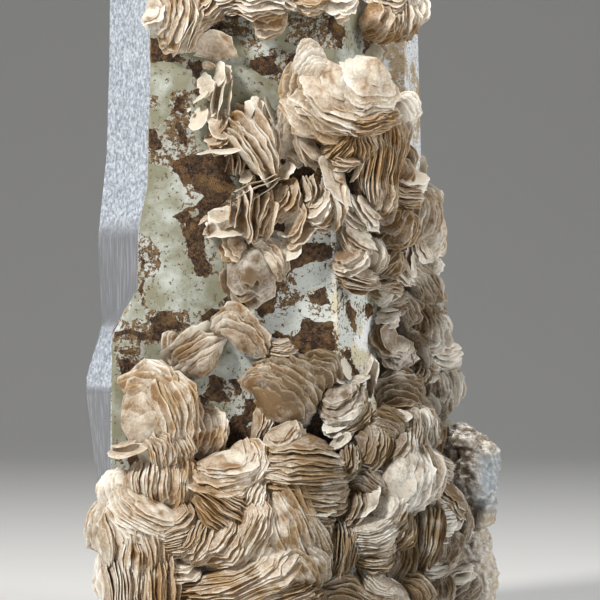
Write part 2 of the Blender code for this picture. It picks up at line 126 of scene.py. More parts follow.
class Wire:
    """A socket's value. + - * / and ** on it add Math nodes, or Vector Math nodes on vectors."""

    def __init__(self, tree, socket=None):
        self.tree = tree
        self.socket = socket

    def node(self, kind, settings=(), values=(), out=0):
        """Adds any node: its settings first, then its sockets' values or links."""
        made = self.tree.nodes.new(kind)
        for name, value in dict(settings).items():
            setattr(made, name, value)
        for name, value in dict(values).items():
            target = made.inputs[name]
            if isinstance(value, Wire):
                self.tree.links.new(value.socket, target)
            elif target.type in ("VECTOR", "ROTATION") and isinstance(value, (int, float)):
                target.default_value = (value, value, value)
            else:
                target.default_value = value
        return Wire(self.tree, made.outputs[out])

    def other(self, name):
        """Another output of the node that this value comes from."""
        return Wire(self.tree, self.socket.node.outputs[name])

    def split(self):
        """The x, y and z of this vector."""
        parts = self.node("ShaderNodeSeparateXYZ", {}, {0: self})
        return parts, parts.other("Y"), parts.other("Z")

    def calculate(self, operation, first, second=0.0):
        """A Math node, or a Vector Math node where either value is a vector or a colour."""
        vector = any(
            v.socket.type in ("VECTOR", "RGBA") if isinstance(v, Wire) else isinstance(v, (tuple, Vector))
            for v in (first, second)
        )
        kind = "ShaderNodeVectorMath" if vector else "ShaderNodeMath"
        return self.node(kind, {"operation": operation}, {0: first, 1: second})

    def __add__(self, other):
        return self.calculate("ADD", self, other)

    def __radd__(self, other):
        return self.calculate("ADD", other, self)

    def __sub__(self, other):
        return self.calculate("SUBTRACT", self, other)

    def __rsub__(self, other):
        return self.calculate("SUBTRACT", other, self)

    def __mul__(self, other):
        return self.calculate("MULTIPLY", self, other)

    def __rmul__(self, other):
        return self.calculate("MULTIPLY", other, self)

    def __truediv__(self, other):
        return self.calculate("DIVIDE", self, other)

    def __rtruediv__(self, other):
        return self.calculate("DIVIDE", other, self)

    def __pow__(self, other):
        return self.calculate("POWER", self, other)

    def ramp(self, low, high, smooth=True):
        """0 below low, 1 above high, and a smooth step between them. low may be the larger one."""
        kind = "SMOOTHSTEP" if smooth else "LINEAR"
        return self.node(
            "ShaderNodeMapRange", {"interpolation_type": kind}, {0: self, 1: low, 2: high, 3: 0.0, 4: 1.0}
        )

    def clip(self):
        """The value, kept between 0 and 1."""
        return self.node("ShaderNodeClamp", {}, {0: self})

    def mix(self, first, second):
        """first where this value is 0, second where it is 1. Both are colours."""
        return self.node(
            "ShaderNodeMix", {"data_type": "RGBA"}, {0: self, 6: first, 7: second}, out=2
        )

    def speckle(self, scale, detail=2.0, roughness=0.5):
        """Cloudy noise from about 0 to 1 at this place."""
        return self.node("ShaderNodeTexNoise", {}, {
            "Vector": self, "Scale": scale, "Detail": detail, "Roughness": roughness,
        })


def new_material(name):
    """An empty material, a wire to write its formulas with, and the place on the object."""
    made = bpy.data.materials.new(name)
    made.use_nodes = True
    made.node_tree.nodes.clear()
    wire = Wire(made.node_tree)
    return made, wire, wire.node("ShaderNodeTexCoord", out=3)


def cover_with(shader):
    """Joins the shader to its material's output."""
    output = shader.tree.nodes.new("ShaderNodeOutputMaterial")
    shader.tree.links.new(shader.socket, output.inputs["Surface"])


def bump(height, strength, distance):
    """A bumpy normal. distance is how high a height of 1 stands, in metres."""
    return height.node(
        "ShaderNodeBump", {}, {"Height": height, "Strength": strength, "Distance": distance}
    )


def principled(wire, **values):
    """A Principled shader. Socket names are given with _ for each space."""
    return wire.node(
        "ShaderNodeBsdfPrincipled", {}, {name.replace("_", " "): v for name, v in values.items()}
    )


QUARTZ_IOR = 1.544
# Frost covers the crystals' upper part and a band below it. These are the heights of its edges
TOP_FROST = (60 * MM, 64 * MM)
BAND_TOP = (48 * MM, 46 * MM)
BAND_FOOT = (37 * MM, 38.5 * MM)

quartz, wire, place = new_material("frosted quartz")
_, y, z = place.split()
facing_x, facing_y, _ = wire.node("ShaderNodeNewGeometry", out=3).split()
fine = place.speckle(2600.0, 3.0, 0.7)
cloud = place.speckle(240.0, 4.0, 0.6)
frost = place.speckle(1500.0, 4.0, 0.75)
streaks = (place * (9.0, 9.0, 0.5)).speckle(260.0, 3.0, 0.6)
# On the sides that face away the frost's edges wander, on the front ones they run level
level = z + (place.speckle(60.0, 3.0, 0.6) - 0.5) * y.ramp(1 * MM, 8 * MM) * (60 * MM)
frosted = (level.ramp(*TOP_FROST) + level.ramp(*BAND_TOP) * level.ramp(*BAND_FOOT)).clip()
grains = frost.ramp(0.35, 0.68)
ice_bump = bump(frost * (0.06 + frosted) + streaks * (1 - frosted) * 0.1, 0.8, 0.3 * MM)
clear = principled(
    wire, Base_Color=(0.95, 0.97, 0.99, 1), Roughness=0.10 + 0.35 * frosted, IOR=QUARTZ_IOR,
    Transmission_Weight=1.0, Normal=ice_bump,
)
milk_colour = grains.mix((0.24, 0.28, 0.34, 1), (0.82, 0.88, 0.96, 1))
growth_lines = streaks.ramp(0.45, 0.7).mix((0.37, 0.39, 0.41, 1), (0.60, 0.60, 0.68, 1))
milk_colour = frosted.mix(growth_lines, milk_colour)
milky = principled(wire, Base_Color=milk_colour, Roughness=0.4, Normal=ice_bump)
bare = wire.node("ShaderNodeMixShader", {}, {0: 0.55 + 0.4 * frosted, 1: clear, 2: milky})
rusty = (cloud + (frost - 0.5) * 0.6 + (place.speckle(90.0, 2.0, 0.5) - 0.5) * 0.5).ramp(0.40, 0.58)
crust_colour = rusty.mix((0.40, 0.30, 0.17, 1), (0.68, 0.72, 0.75, 1))
crust_colour = fine.ramp(0.54, 0.64).mix(crust_colour, (0.24, 0.16, 0.08, 1))
crusted = principled(
    wire, Base_Color=crust_colour, Roughness=0.7, Normal=bump(fine + cloud, 0.6, 0.2 * MM)
)
on_front = (0 - facing_y).ramp(0.80, 0.92)
crust_mask = (on_front + facing_x.ramp(0.2, 0.5)).clip() * (0.55 + cloud).clip()
whole = wire.node("ShaderNodeMixShader", {}, {0: crust_mask, 1: bare, 2: crusted})
cover_with(whole)
for name in ("quartz_front_crystal", "quartz_rear_crystal"):
    nodes[name].data.materials.clear()
    nodes[name].data.materials.append(quartz)


# The pale coat on the front crystal's broad face: a skin a tenth of a millimetre thick that chipped
# away along straight, ragged edges, and the crust of brown crystals that its gaps lay bare.

COAT_THICK = 0.11 * MM
CRUST_THICK = 0.04 * MM
SUNK = 0.03 * MM  # how deep the backs of both lie in the quartz
THINNED = 1.6  # how far round a gap the coat is worn through in spots, in millimetres
CHIP_LENGTH = 0.30  # edges are broken up until they are shorter than this, in millimetres
WELD = 0.004  # points of the outlines that are nearer than this become one, in millimetres
# Outlines on the broad face, as (x, z) in millimetres: the whole coat, the gaps in it, the flakes of
# it left in a gap, and the patches where it is worn through in spots
COAT = [
    (-13.3, 98.6), (-8.0, 99.2), (-2.0, 98.4), (6.0, 99.0), (13.9, 98.4), (19.9, 95.2), (20.0, 70.0),
    (20.6, 60.0), (20.7, 40.0), (20.7, 27.0), (12.0, 25.0), (2.0, 24.0), (-8.0, 23.0), (-19.2, 26.0),
    (-19.2, 46.0), (-15.3, 52.8), (-15.2, 61.0), (-13.9, 68.0), (-13.5, 82.0),
]
HOLES = [
    [(-13.5, 90.3), (-11.6, 89.8), (-9.6, 88.7), (-8.7, 87.3), (-8.9, 86.8), (-11.1, 86.7),
     (-13.5, 86.7)],
    [(-7.9, 86.7), (-6.0, 87.0), (-5.6, 85.5), (-6.6, 84.0), (-7.2, 84.9)],
    [(-7.1, 82.3), (-6.2, 82.7), (-5.2, 82.2), (-5.7, 81.5), (-6.5, 81.8)],
    [(-9.4, 81.5), (-8.2, 81.9), (-7.7, 81.3), (-8.7, 80.5), (-9.0, 79.8), (-7.9, 79.5), (-8.6, 78.9),
     (-9.8, 79.2)],
    [(-9.6, 78.0), (-8.9, 77.7), (-8.4, 76.5), (-7.8, 75.3), (-7.9, 74.2), (-9.0, 74.4), (-9.2, 75.9)],
    [(-13.7, 76.8), (-12.8, 76.5), (-12.3, 75.2), (-11.6, 74.1), (-12.0, 73.5), (-13.5, 73.7)],
    [(-10.2, 71.1), (-7.5, 72.6), (-5.1, 73.2), (-2.7, 72.9), (-0.9, 70.8), (-0.9, 68.1), (-1.8, 66.3),
     (-3.6, 64.5), (-5.1, 63.6), (-4.5, 62.7), (-5.4, 60.6), (-4.8, 56.7), (-4.1, 55.8), (-5.1, 54.3),
     (-6.6, 54.6), (-7.2, 56.7), (-8.1, 59.1), (-8.7, 61.2), (-8.1, 62.4), (-10.2, 63.5), (-8.7, 64.3),
     (-6.6, 65.1), (-5.4, 66.5), (-6.9, 68.0), (-8.7, 68.5), (-9.6, 70.0)],
    [(-15.4, 58.2), (-14.9, 58.5), (-14.6, 56.7), (-14.9, 55.8), (-13.5, 55.4), (-14.4, 54.0),
     (-14.9, 53.4), (-14.9, 51.3), (-15.4, 50.7)],
    [(-13.5, 48.3), (-12.3, 49.1), (-10.5, 49.1), (-9.6, 48.3), (-8.4, 46.8), (-9.3, 46.4),
     (-10.5, 46.5), (-10.8, 45.3), (-12.0, 44.9), (-13.7, 45.0), (-13.2, 46.5)],
    [(-18.8, 46.2), (-16.8, 46.6), (-14.1, 46.4), (-13.5, 45.3), (-15.3, 45.1), (-17.1, 45.8),
     (-18.6, 45.5)],
    [(-18.2, 42.1), (-16.8, 42.3), (-15.9, 41.4), (-14.9, 40.6), (-16.1, 39.6), (-17.1, 38.9),
     (-18.0, 40.8)],
    [(-18.4, 43.5), (-16.8, 43.6), (-15.3, 43.2), (-16.5, 42.8), (-17.7, 42.8)],
    [(8.5, 60.0), (10.8, 59.6), (13.6, 59.2), (13.9, 57.3), (12.3, 56.7), (10.5, 56.6), (8.7, 55.8),
     (7.2, 54.9), (5.4, 53.4), (6.0, 56.7), (7.2, 57.6)],
    [(-2.7, 59.1), (3.3, 56.7), (6.0, 56.7), (6.6, 54.6), (6.1, 53.1), (5.5, 51.0), (5.1, 49.2),
     (3.3, 48.3), (1.5, 49.8), (-0.6, 49.2), (-1.5, 50.1), (-2.6, 51.0), (-1.2, 54.0)],
    [(10.4, 51.6), (11.4, 52.4), (12.8, 53.0), (12.9, 51.6), (13.4, 50.4), (12.3, 50.1), (10.6, 50.6)],
    [(9.4, 47.9), (10.5, 48.3), (12.1, 47.7), (14.1, 47.6), (14.2, 45.0), (13.8, 43.2), (11.7, 42.9),
     (9.9, 41.7), (8.5, 42.5), (7.9, 44.2), (8.5, 45.9)],
    [(-5.9, 48.6), (-5.0, 49.2), (-4.2, 49.8), (-3.0, 49.5), (-3.5, 48.0), (-2.9, 47.1), (-4.2, 46.2),
     (-5.2, 45.8), (-6.0, 46.8)],
    [(-4.8, 39.6), (-3.9, 39.8), (-2.7, 39.0), (-2.7, 37.5), (-1.2, 36.0), (-2.7, 35.7), (-5.1, 36.3),
     (-5.6, 36.9), (-4.8, 37.8)],
    [(-7.2, 36.9), (-5.7, 36.6), (-4.8, 36.0), (-5.4, 35.2), (-6.9, 35.7)],
    [(0.8, 36.3), (2.4, 35.7), (3.3, 33.9), (3.3, 28.8), (-2.4, 28.8), (-1.8, 30.6), (-2.1, 31.8),
     (-1.2, 33.6), (0.6, 34.2)],
    [(-1.8, 38.9), (-0.3, 39.0), (0.4, 37.8), (0.0, 36.6), (-0.9, 37.8)],
    [(4.5, 45.6), (5.4, 46.4), (6.3, 45.9), (7.6, 45.5), (6.9, 44.9), (5.5, 45.3)],
    [(15.8, 50.6), (16.5, 51.0), (17.5, 48.8), (17.5, 46.8), (17.1, 46.1), (16.5, 47.1), (15.9, 48.9)],
    [(18.8, 50.1), (19.4, 50.6), (20.1, 49.8), (19.9, 48.6), (19.4, 48.0), (18.8, 48.9)],
    [(15.3, 43.2), (16.5, 43.5), (16.5, 42.1), (15.3, 42.3)],
    [(14.7, 54.0), (15.1, 53.1), (15.1, 51.0), (14.9, 49.8)],
    [(13.6, 93.9), (15.0, 93.3), (15.8, 91.5), (15.3, 88.8), (14.4, 89.0), (13.9, 90.9), (13.2, 92.4)],
    [(18.6, 90.9), (19.6, 91.2), (19.9, 89.4), (19.4, 88.0), (18.4, 88.5)],
    [(0.0, 78.3), (2.4, 80.1), (4.5, 77.4), (6.8, 78.3), (9.0, 81.6), (13.5, 82.2), (15.8, 81.0),
     (18.0, 81.6), (19.8, 79.5), (19.8, 61.5), (15.8, 61.2), (14.7, 62.1), (11.7, 61.8), (9.0, 62.1),
     (6.8, 60.6), (3.3, 61.2), (1.2, 61.8), (0.0, 65.4), (1.5, 67.5), (0.9, 70.5), (-0.3, 73.5),
     (-0.6, 76.5)],
    [(1.5, 87.0), (3.3, 87.6), (5.4, 87.9), (5.1, 86.7), (6.3, 85.5), (5.4, 84.6), (3.3, 84.6),
     (2.1, 85.5)],
    [(6.6, 86.7), (8.1, 87.9), (9.6, 87.6), (9.6, 83.4), (7.8, 84.6)],
    [(-5.2, 92.4), (-2.7, 92.7), (-1.5, 91.8), (-3.9, 91.3), (-5.4, 90.9)],
    [(-2.7, 94.2), (-0.3, 94.7), (0.9, 93.9), (-0.3, 93.3), (-2.4, 93.5)],
    [(3.3, 36.3), (13.5, 40.2), (15.8, 42.0), (18.0, 39.6), (16.8, 33.0), (13.5, 25.5), (3.3, 25.5)],
    [(-15.0, 37.2), (-8.7, 35.4), (-8.1, 25.5), (-16.5, 25.5)],
]
FLAKES_LEFT = [
    [(0.9, 32.0), (2.1, 32.9), (2.5, 31.0)],
    [(-7.8, 64.3), (-6.5, 64.8), (-6.2, 63.8), (-7.2, 63.3)],
]
SPECKLED = [
    [(-6.3, 92.7), (-3.9, 92.8), (1.5, 93.0), (1.8, 90.9), (3.3, 89.4), (2.7, 88.2), (0.9, 88.8),
     (0.0, 89.7), (-0.6, 90.6), (-4.2, 90.8), (-6.2, 90.3)],
    [(-3.3, 94.8), (1.0, 94.8), (1.2, 93.0), (-3.9, 93.0)],
    [(1.5, 87.0), (3.3, 87.9), (6.6, 88.5), (8.7, 88.2), (9.0, 84.9), (7.2, 84.0), (3.9, 84.2),
     (2.7, 85.2), (1.4, 85.8)],
    [(6.9, 93.6), (10.5, 94.5), (13.5, 93.9), (15.3, 89.4), (14.4, 88.5), (9.0, 88.5), (6.6, 89.7)],
    [(-13.8, 82.2), (-12.3, 81.6), (-12.4, 79.8), (-13.8, 79.5)],
    [(-10.2, 82.2), (-7.2, 82.2), (-7.2, 73.5), (-9.9, 73.8)],
    [(-14.1, 74.1), (-6.0, 73.8), (-7.5, 71.7), (-13.5, 71.4)],
    [(-15.4, 61.2), (-13.5, 60.6), (-11.7, 58.5), (-12.3, 54.8), (-14.1, 53.4), (-14.4, 50.7),
     (-15.4, 50.4)],
    [(-8.4, 68.4), (-6.6, 68.1), (-8.1, 66.6)],
    [(-6.6, 73.5), (-0.6, 73.5), (-0.3, 66.0), (-2.1, 64.5), (-3.3, 67.5)],
    [(-19.1, 47.7), (-13.5, 47.7), (-13.5, 44.2), (-19.1, 44.7)],
    [(-18.8, 44.1), (-14.7, 44.1), (-14.1, 39.0), (-18.6, 41.1)],
    [(5.4, 56.7), (7.5, 55.8), (9.0, 51.0), (5.4, 49.2)],
    [(-14.1, 50.1), (-7.5, 49.8), (-7.5, 45.0), (-14.1, 44.4)],
]

# The corner edge that the skin is folded over, and the rib of clean crust beside it
EDGE = [(14.8, 20.0), (14.6, 37.0), (14.5, 46.0), (14.5, 52.8), (14.1, 82.0), (13.9, 98.0)]
RIB = [(13.6, 61.5), (14.9, 61.0), (14.9, 44.0), (16.6, 44.0), (20.7, 54.0), (20.7, 27.0), (14.0, 27.0)]


def ragged(outline, seed, rough=0.19):
    """The outline with its edges broken up."""
    chance = random.Random(seed)
    points = [Vector(p) for p in outline]
    while max((a - b).length for a, b in zip(points, points[1:])) > CHIP_LENGTH:
        finer = []
        for a, b in zip(points, points[1:] + points[:1]):
            finer.append(a)
            if (a - b).length > CHIP_LENGTH:
                across = Vector((a.y - b.y, b.x - a.x))
                finer.append((a + b) / 2 + across * chance.uniform(-rough, rough))
        points = finer
    return points


def inside(point, outline):
    """Whether the point lies in the outline."""
    odd = False
    for a, b in zip(outline, outline[1:] + outline[:1]):
        if (a.y > point.y) != (b.y > point.y):
            if point.x < a.x + (point.y - a.y) / (b.y - a.y) * (b.x - a.x):
                odd = not odd
    return odd


class Region:
    """Outlines that are tested together."""

    def __init__(self, outlines):
        self.outlines = [
            (o, min(p.x for p in o), max(p.x for p in o), min(p.y for p in o), max(p.y for p in o))
            for o in outlines
        ]

    def holds(self, point):
        for outline, left, right, low, high in self.outlines:
            if left < point.x < right and low < point.y < high and inside(point, outline):
                return True
        return False


coat_outline = [Vector(p) for p in COAT]
hole_outlines = [ragged(o, k) for k, o in enumerate(HOLES)]
flake_outlines = [ragged(o, k) for k, o in enumerate(FLAKES_LEFT)]
speckled_outlines = [ragged(o, k) for k, o in enumerate(SPECKLED)]
rib_outline = [Vector(p) for p in RIB]
drawn, edges = [], []
for outline in [coat_outline, *hole_outlines, *flake_outlines, *speckled_outlines, rib_outline]:
    first = len(drawn)
    drawn += outline
    edges += [(first + k, first + (k + 1) % len(outline)) for k in range(len(outline))]
first = len(drawn)
drawn += [Vector(p) for p in EDGE]
edges += [(first + k, first + k + 1) for k in range(len(EDGE) - 1)]
flat, _, triangles, _, _, _ = geometry.delaunay_2d_cdt(drawn, edges, [], 0, WELD)
whole_coat, gaps, flakes = Region([coat_outline]), Region(hole_outlines), Region(flake_outlines)
speckles, rib = Region(speckled_outlines), Region([rib_outline])
crystal = bmesh.new()
crystal.from_mesh(nodes["quartz_front_crystal"].data)
crystal_tree = BVHTree.FromBMesh(crystal)
crystal.free()


def skin(name, faces, thick, marks):
    """A closed sheet of these triangles on the crystal's front, with marks kept per face."""
    used = sorted({k for face in faces for k in face})
    order = {k: i for i, k in enumerate(used)}
    front, back = [], []
    for k in used:
        before = Vector((flat[k].x * MM, -100 * MM, flat[k].y * MM))
        hit, normal, _, _ = crystal_tree.ray_cast(before, Vector((0, 1, 0)))
        front.append(hit + normal * thick)
        back.append(hit - normal * SUNK)
    shapes, kept, outer = [], [], []
    sides = {}
    for face, mark in zip(faces, marks):
        a, b, c = (order[k] for k in face)
        turn = (front[b] - front[a]).cross(front[c] - front[a]).y
        a, b, c = (a, b, c) if turn < 0 else (a, c, b)
        shapes += [(a, b, c), (a + len(used), c + len(used), b + len(used))]
        kept += [mark, mark]
        outer += [1.0, 0.0]
        for p, q in ((a, b), (b, c), (c, a)):
            sides[(p, q)] = mark
    for (p, q), mark in sides.items():
        if (q, p) not in sides:
            shapes.append((q, p, p + len(used), q + len(used)))
            kept.append(mark)
            outer.append(0.0)
    mesh = bpy.data.meshes.new(name)
    mesh.from_pydata(front + back, [], shapes)
    for index, key in enumerate(("speckled", "rib")):
        mesh.attributes.new(key, "FLOAT", "FACE").data.foreach_set("value", [m[index] for m in kept])
    mesh.attributes.new("outer", "FLOAT", "FACE").data.foreach_set("value", outer)
    return add_object(name, mesh)


rims = kdtree.KDTree(sum(len(o) for o in hole_outlines))
for k, point in enumerate(p for o in hole_outlines for p in o):
    rims.insert((point.x, point.y, 0), k)
rims.balance()
covered, bared, marks = [], [], []
for triangle in triangles:
    middle = (flat[triangle[0]] + flat[triangle[1]] + flat[triangle[2]]) / 3
    if not whole_coat.holds(middle):
        continue
    if gaps.holds(middle) and not flakes.holds(middle):
        bared.append(triangle)
    else:
        covered.append(triangle)
        to_gap = rims.find((middle.x, middle.y, 0))[2]
        thinned = 1.0 if speckles.holds(middle) else max(0.0, 0.9 - to_gap / THINNED)
        marks.append((thinned, float(rib.holds(middle))))

coat_material, wire, place = new_material("pale coat")
speckled = wire.node("ShaderNodeAttribute", {"attribute_name": "speckled"}, out=2)
rib_mark = wire.node("ShaderNodeAttribute", {"attribute_name": "rib"}, out=2)
fine = place.speckle(3000.0, 2.0, 0.6)
spots = place.speckle(1700.0, 3.0, 0.7)
cloud = place.speckle(150.0, 4.0, 0.6)
x, _, z = place.split()
lower_right = x.ramp(-3 * MM, 3 * MM) * z.ramp(66 * MM, 60 * MM)
pale = (cloud + lower_right * 0.25).ramp(0.42, 0.72)
coat_colour = pale.mix((0.265, 0.26, 0.175, 1), (0.60, 0.64, 0.60, 1))
rib_colour = cloud.ramp(0.46, 0.56).mix((0.66, 0.60, 0.42, 1), (0.86, 0.88, 0.88, 1))
coat_colour = rib_mark.mix(coat_colour, rib_colour)
coat_colour = (fine.ramp(0.55, 0.75) * 0.45).mix(coat_colour, (0.27, 0.25, 0.17, 1))
spot_mask = (spots + speckled * 0.16).ramp(0.60, 0.66)
brown_spots = fine.ramp(0.3, 0.6).mix((0.035, 0.018, 0.008, 1), (0.20, 0.12, 0.05, 1))
coat_colour = spot_mask.mix((speckled * 0.5).mix(coat_colour, (0.62, 0.63, 0.60, 1)), brown_spots)
coat_bump = bump(fine * 0.4 - spot_mask, 0.6, 0.12 * MM)
shader = principled(wire, Base_Color=coat_colour, Roughness=0.75, Normal=coat_bump)
cover_with(shader)
coat = skin("pale_coat", covered, COAT_THICK, marks)
coat.data.materials.append(coat_material)
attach(coat, "root")

GRAINS_PER_SQUARE_METRE = 9e6
GRAIN_RADIUS = 0.15 * MM

grain_material, wire, place = new_material("brown crystals")
fine = place.speckle(2200.0, 3.0, 0.7)
patches = place.speckle(330.0, 2.0, 0.6)
grain_colour = fine.ramp(0.40, 0.66).mix((0.022, 0.010, 0.005, 1), (0.15, 0.075, 0.025, 1))
grain_colour = (patches.ramp(0.50, 0.68) * 0.6).mix(grain_colour, (0.26, 0.15, 0.05, 1))
shader = principled(
    wire, Base_Color=grain_colour, Roughness=0.45, Normal=bump(fine, 0.8, 0.15 * MM)
)
cover_with(shader)


def new_tree(name, source, floats, integers=()):
    """A geometry nodes tree with its inputs. Returns the geometry that comes in."""
    tree = bpy.data.node_groups.new(name, "GeometryNodeTree")
    sockets = [(source, "NodeSocketGeometry")]
    sockets += [(key, "NodeSocketFloat") for key in floats]
    sockets += [(key, "NodeSocketInt") for key in integers]
    for key, kind in sockets:
        tree.interface.new_socket(key, in_out="INPUT", socket_type=kind)
    tree.interface.new_socket("Grown", in_out="OUTPUT", socket_type="NodeSocketGeometry")
    return Wire(tree, tree.nodes.new("NodeGroupInput").outputs[source])


def finish_tree(parts, material, smooth=True):
    """Ends the tree with one real mesh of all these parts in that material, and returns the tree."""
    tree = parts[0].tree
    grown = parts[0].node("GeometryNodeJoinGeometry")
    for part in parts:
        tree.links.new(part.socket, grown.socket.node.inputs[0])
    if smooth:
        grown = grown.node("GeometryNodeSetShadeSmooth", {}, {"Geometry": grown})
    grown = grown.node("GeometryNodeRealizeInstances", {}, {"Geometry": grown})
    grown = grown.node("GeometryNodeSetMaterial", {}, {"Geometry": grown, "Material": material})
    tree.links.new(grown.socket, tree.nodes.new("NodeGroupOutput").inputs["Grown"])
    return tree


def set_on(points, shape, **values):
    """Real copies of the shape, one on each point."""
    values = {"Points": points, "Instance": shape, **values}
    copies = points.node("GeometryNodeInstanceOnPoints", {}, values)
    return copies.node("GeometryNodeRealizeInstances", {}, {"Geometry": copies})


def grain_tree():
    """Geometry nodes that strew small crystals over the bared bed."""
    bed = new_tree("brown_crystals", "Bed", ["Grains per square metre", "Grain radius"], ["Seed"])
    density, radius, seed = (
        bed.other(key) for key in ("Grains per square metre", "Grain radius", "Seed")
    )
    outer = bed.node("GeometryNodeInputNamedAttribute", {"data_type": "FLOAT"}, {"Name": "outer"})
    points = bed.node(
        "GeometryNodeDistributePointsOnFaces", {}, {"Mesh": bed, "Density": density * outer, "Seed": seed}
    )
    grain = bed.node("GeometryNodeMeshUVSphere", {}, {"Segments": 5, "Rings": 2, "Radius": 1.0})
    turn = bed.node(
        "FunctionNodeRandomValue", {"data_type": "FLOAT_VECTOR"}, {0: 0.0, 1: 6.28, "Seed": seed + 1}
    )
    share = bed.node(
        "FunctionNodeRandomValue", {"data_type": "FLOAT"}, {2: 0.5, 3: 1.3, "Seed": seed + 2}, out=1
    )
    grains = set_on(points, grain, Rotation=turn, Scale=share * radius)
    return finish_tree([bed, grains], grain_material, smooth=False)


def grow(grown, tree, settings):
    """Runs the tree on the object and keeps its result as a plain mesh."""
    step = grown.modifiers.new("growth", "NODES")
    step.node_group = tree
    for item in tree.interface.items_tree:
        if item.in_out == "INPUT" and item.name in settings:
            step[item.identifier] = settings[item.name]
    evaluated = grown.evaluated_get(bpy.context.evaluated_depsgraph_get())
    plain = bpy.data.meshes.new_from_object(evaluated)
    grown.modifiers.remove(step)
    plain.name = grown.name
    grown.data = plain


crust = skin("brown_crystals", bared, CRUST_THICK, [(0.0, 0.0)] * len(bared))
grow(crust, grain_tree(), {
    "Grains per square metre": GRAINS_PER_SQUARE_METRE, "Grain radius": GRAIN_RADIUS, "Seed": 5,
})
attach(crust, "root")


# The calcite rosettes: each is a stack of thin plates that fan out of the quartz, grown one beside
# the other. Rims are cream, partly as a painted highlight where light catches them, and the gaps
# between the plates are brown, partly from iron dust and partly as painted shade.

PLATE_FAN_ROOT = 1.1  # a fan's plates turn about a line this many reaches behind their middle
ROOT_SHARE = 0.62  # how far a plate runs back towards its root, as a share of its reach
END_ROUNDING = 0.25  # how much smaller a stack's outermost plates are
FEW_BLADES, MANY_PLATES = 0.9 * MM, 2.0 * MM  # stacks up to the first thickness hold single blades
BROAD_BEND, CLOSE_BEND = 2.2 * MM, 0.5 * MM  # how far plates bend over 6 mm, and over 2 mm
RAGGEDNESS = 0.34
WAVINESS = 0.08
RIM_WIDTH = 0.40  # how far the pale rim reaches inwards, in millimetres
# What each point of a plate keeps for the material: its millimetres from the rim, how stained and
# how deep in the gaps' painted shade it is, the plate's tone, and the millimetre of the stack that it
# lies in
MARKS = ("inward", "stain_and_gap_shade", "shade", "layer")


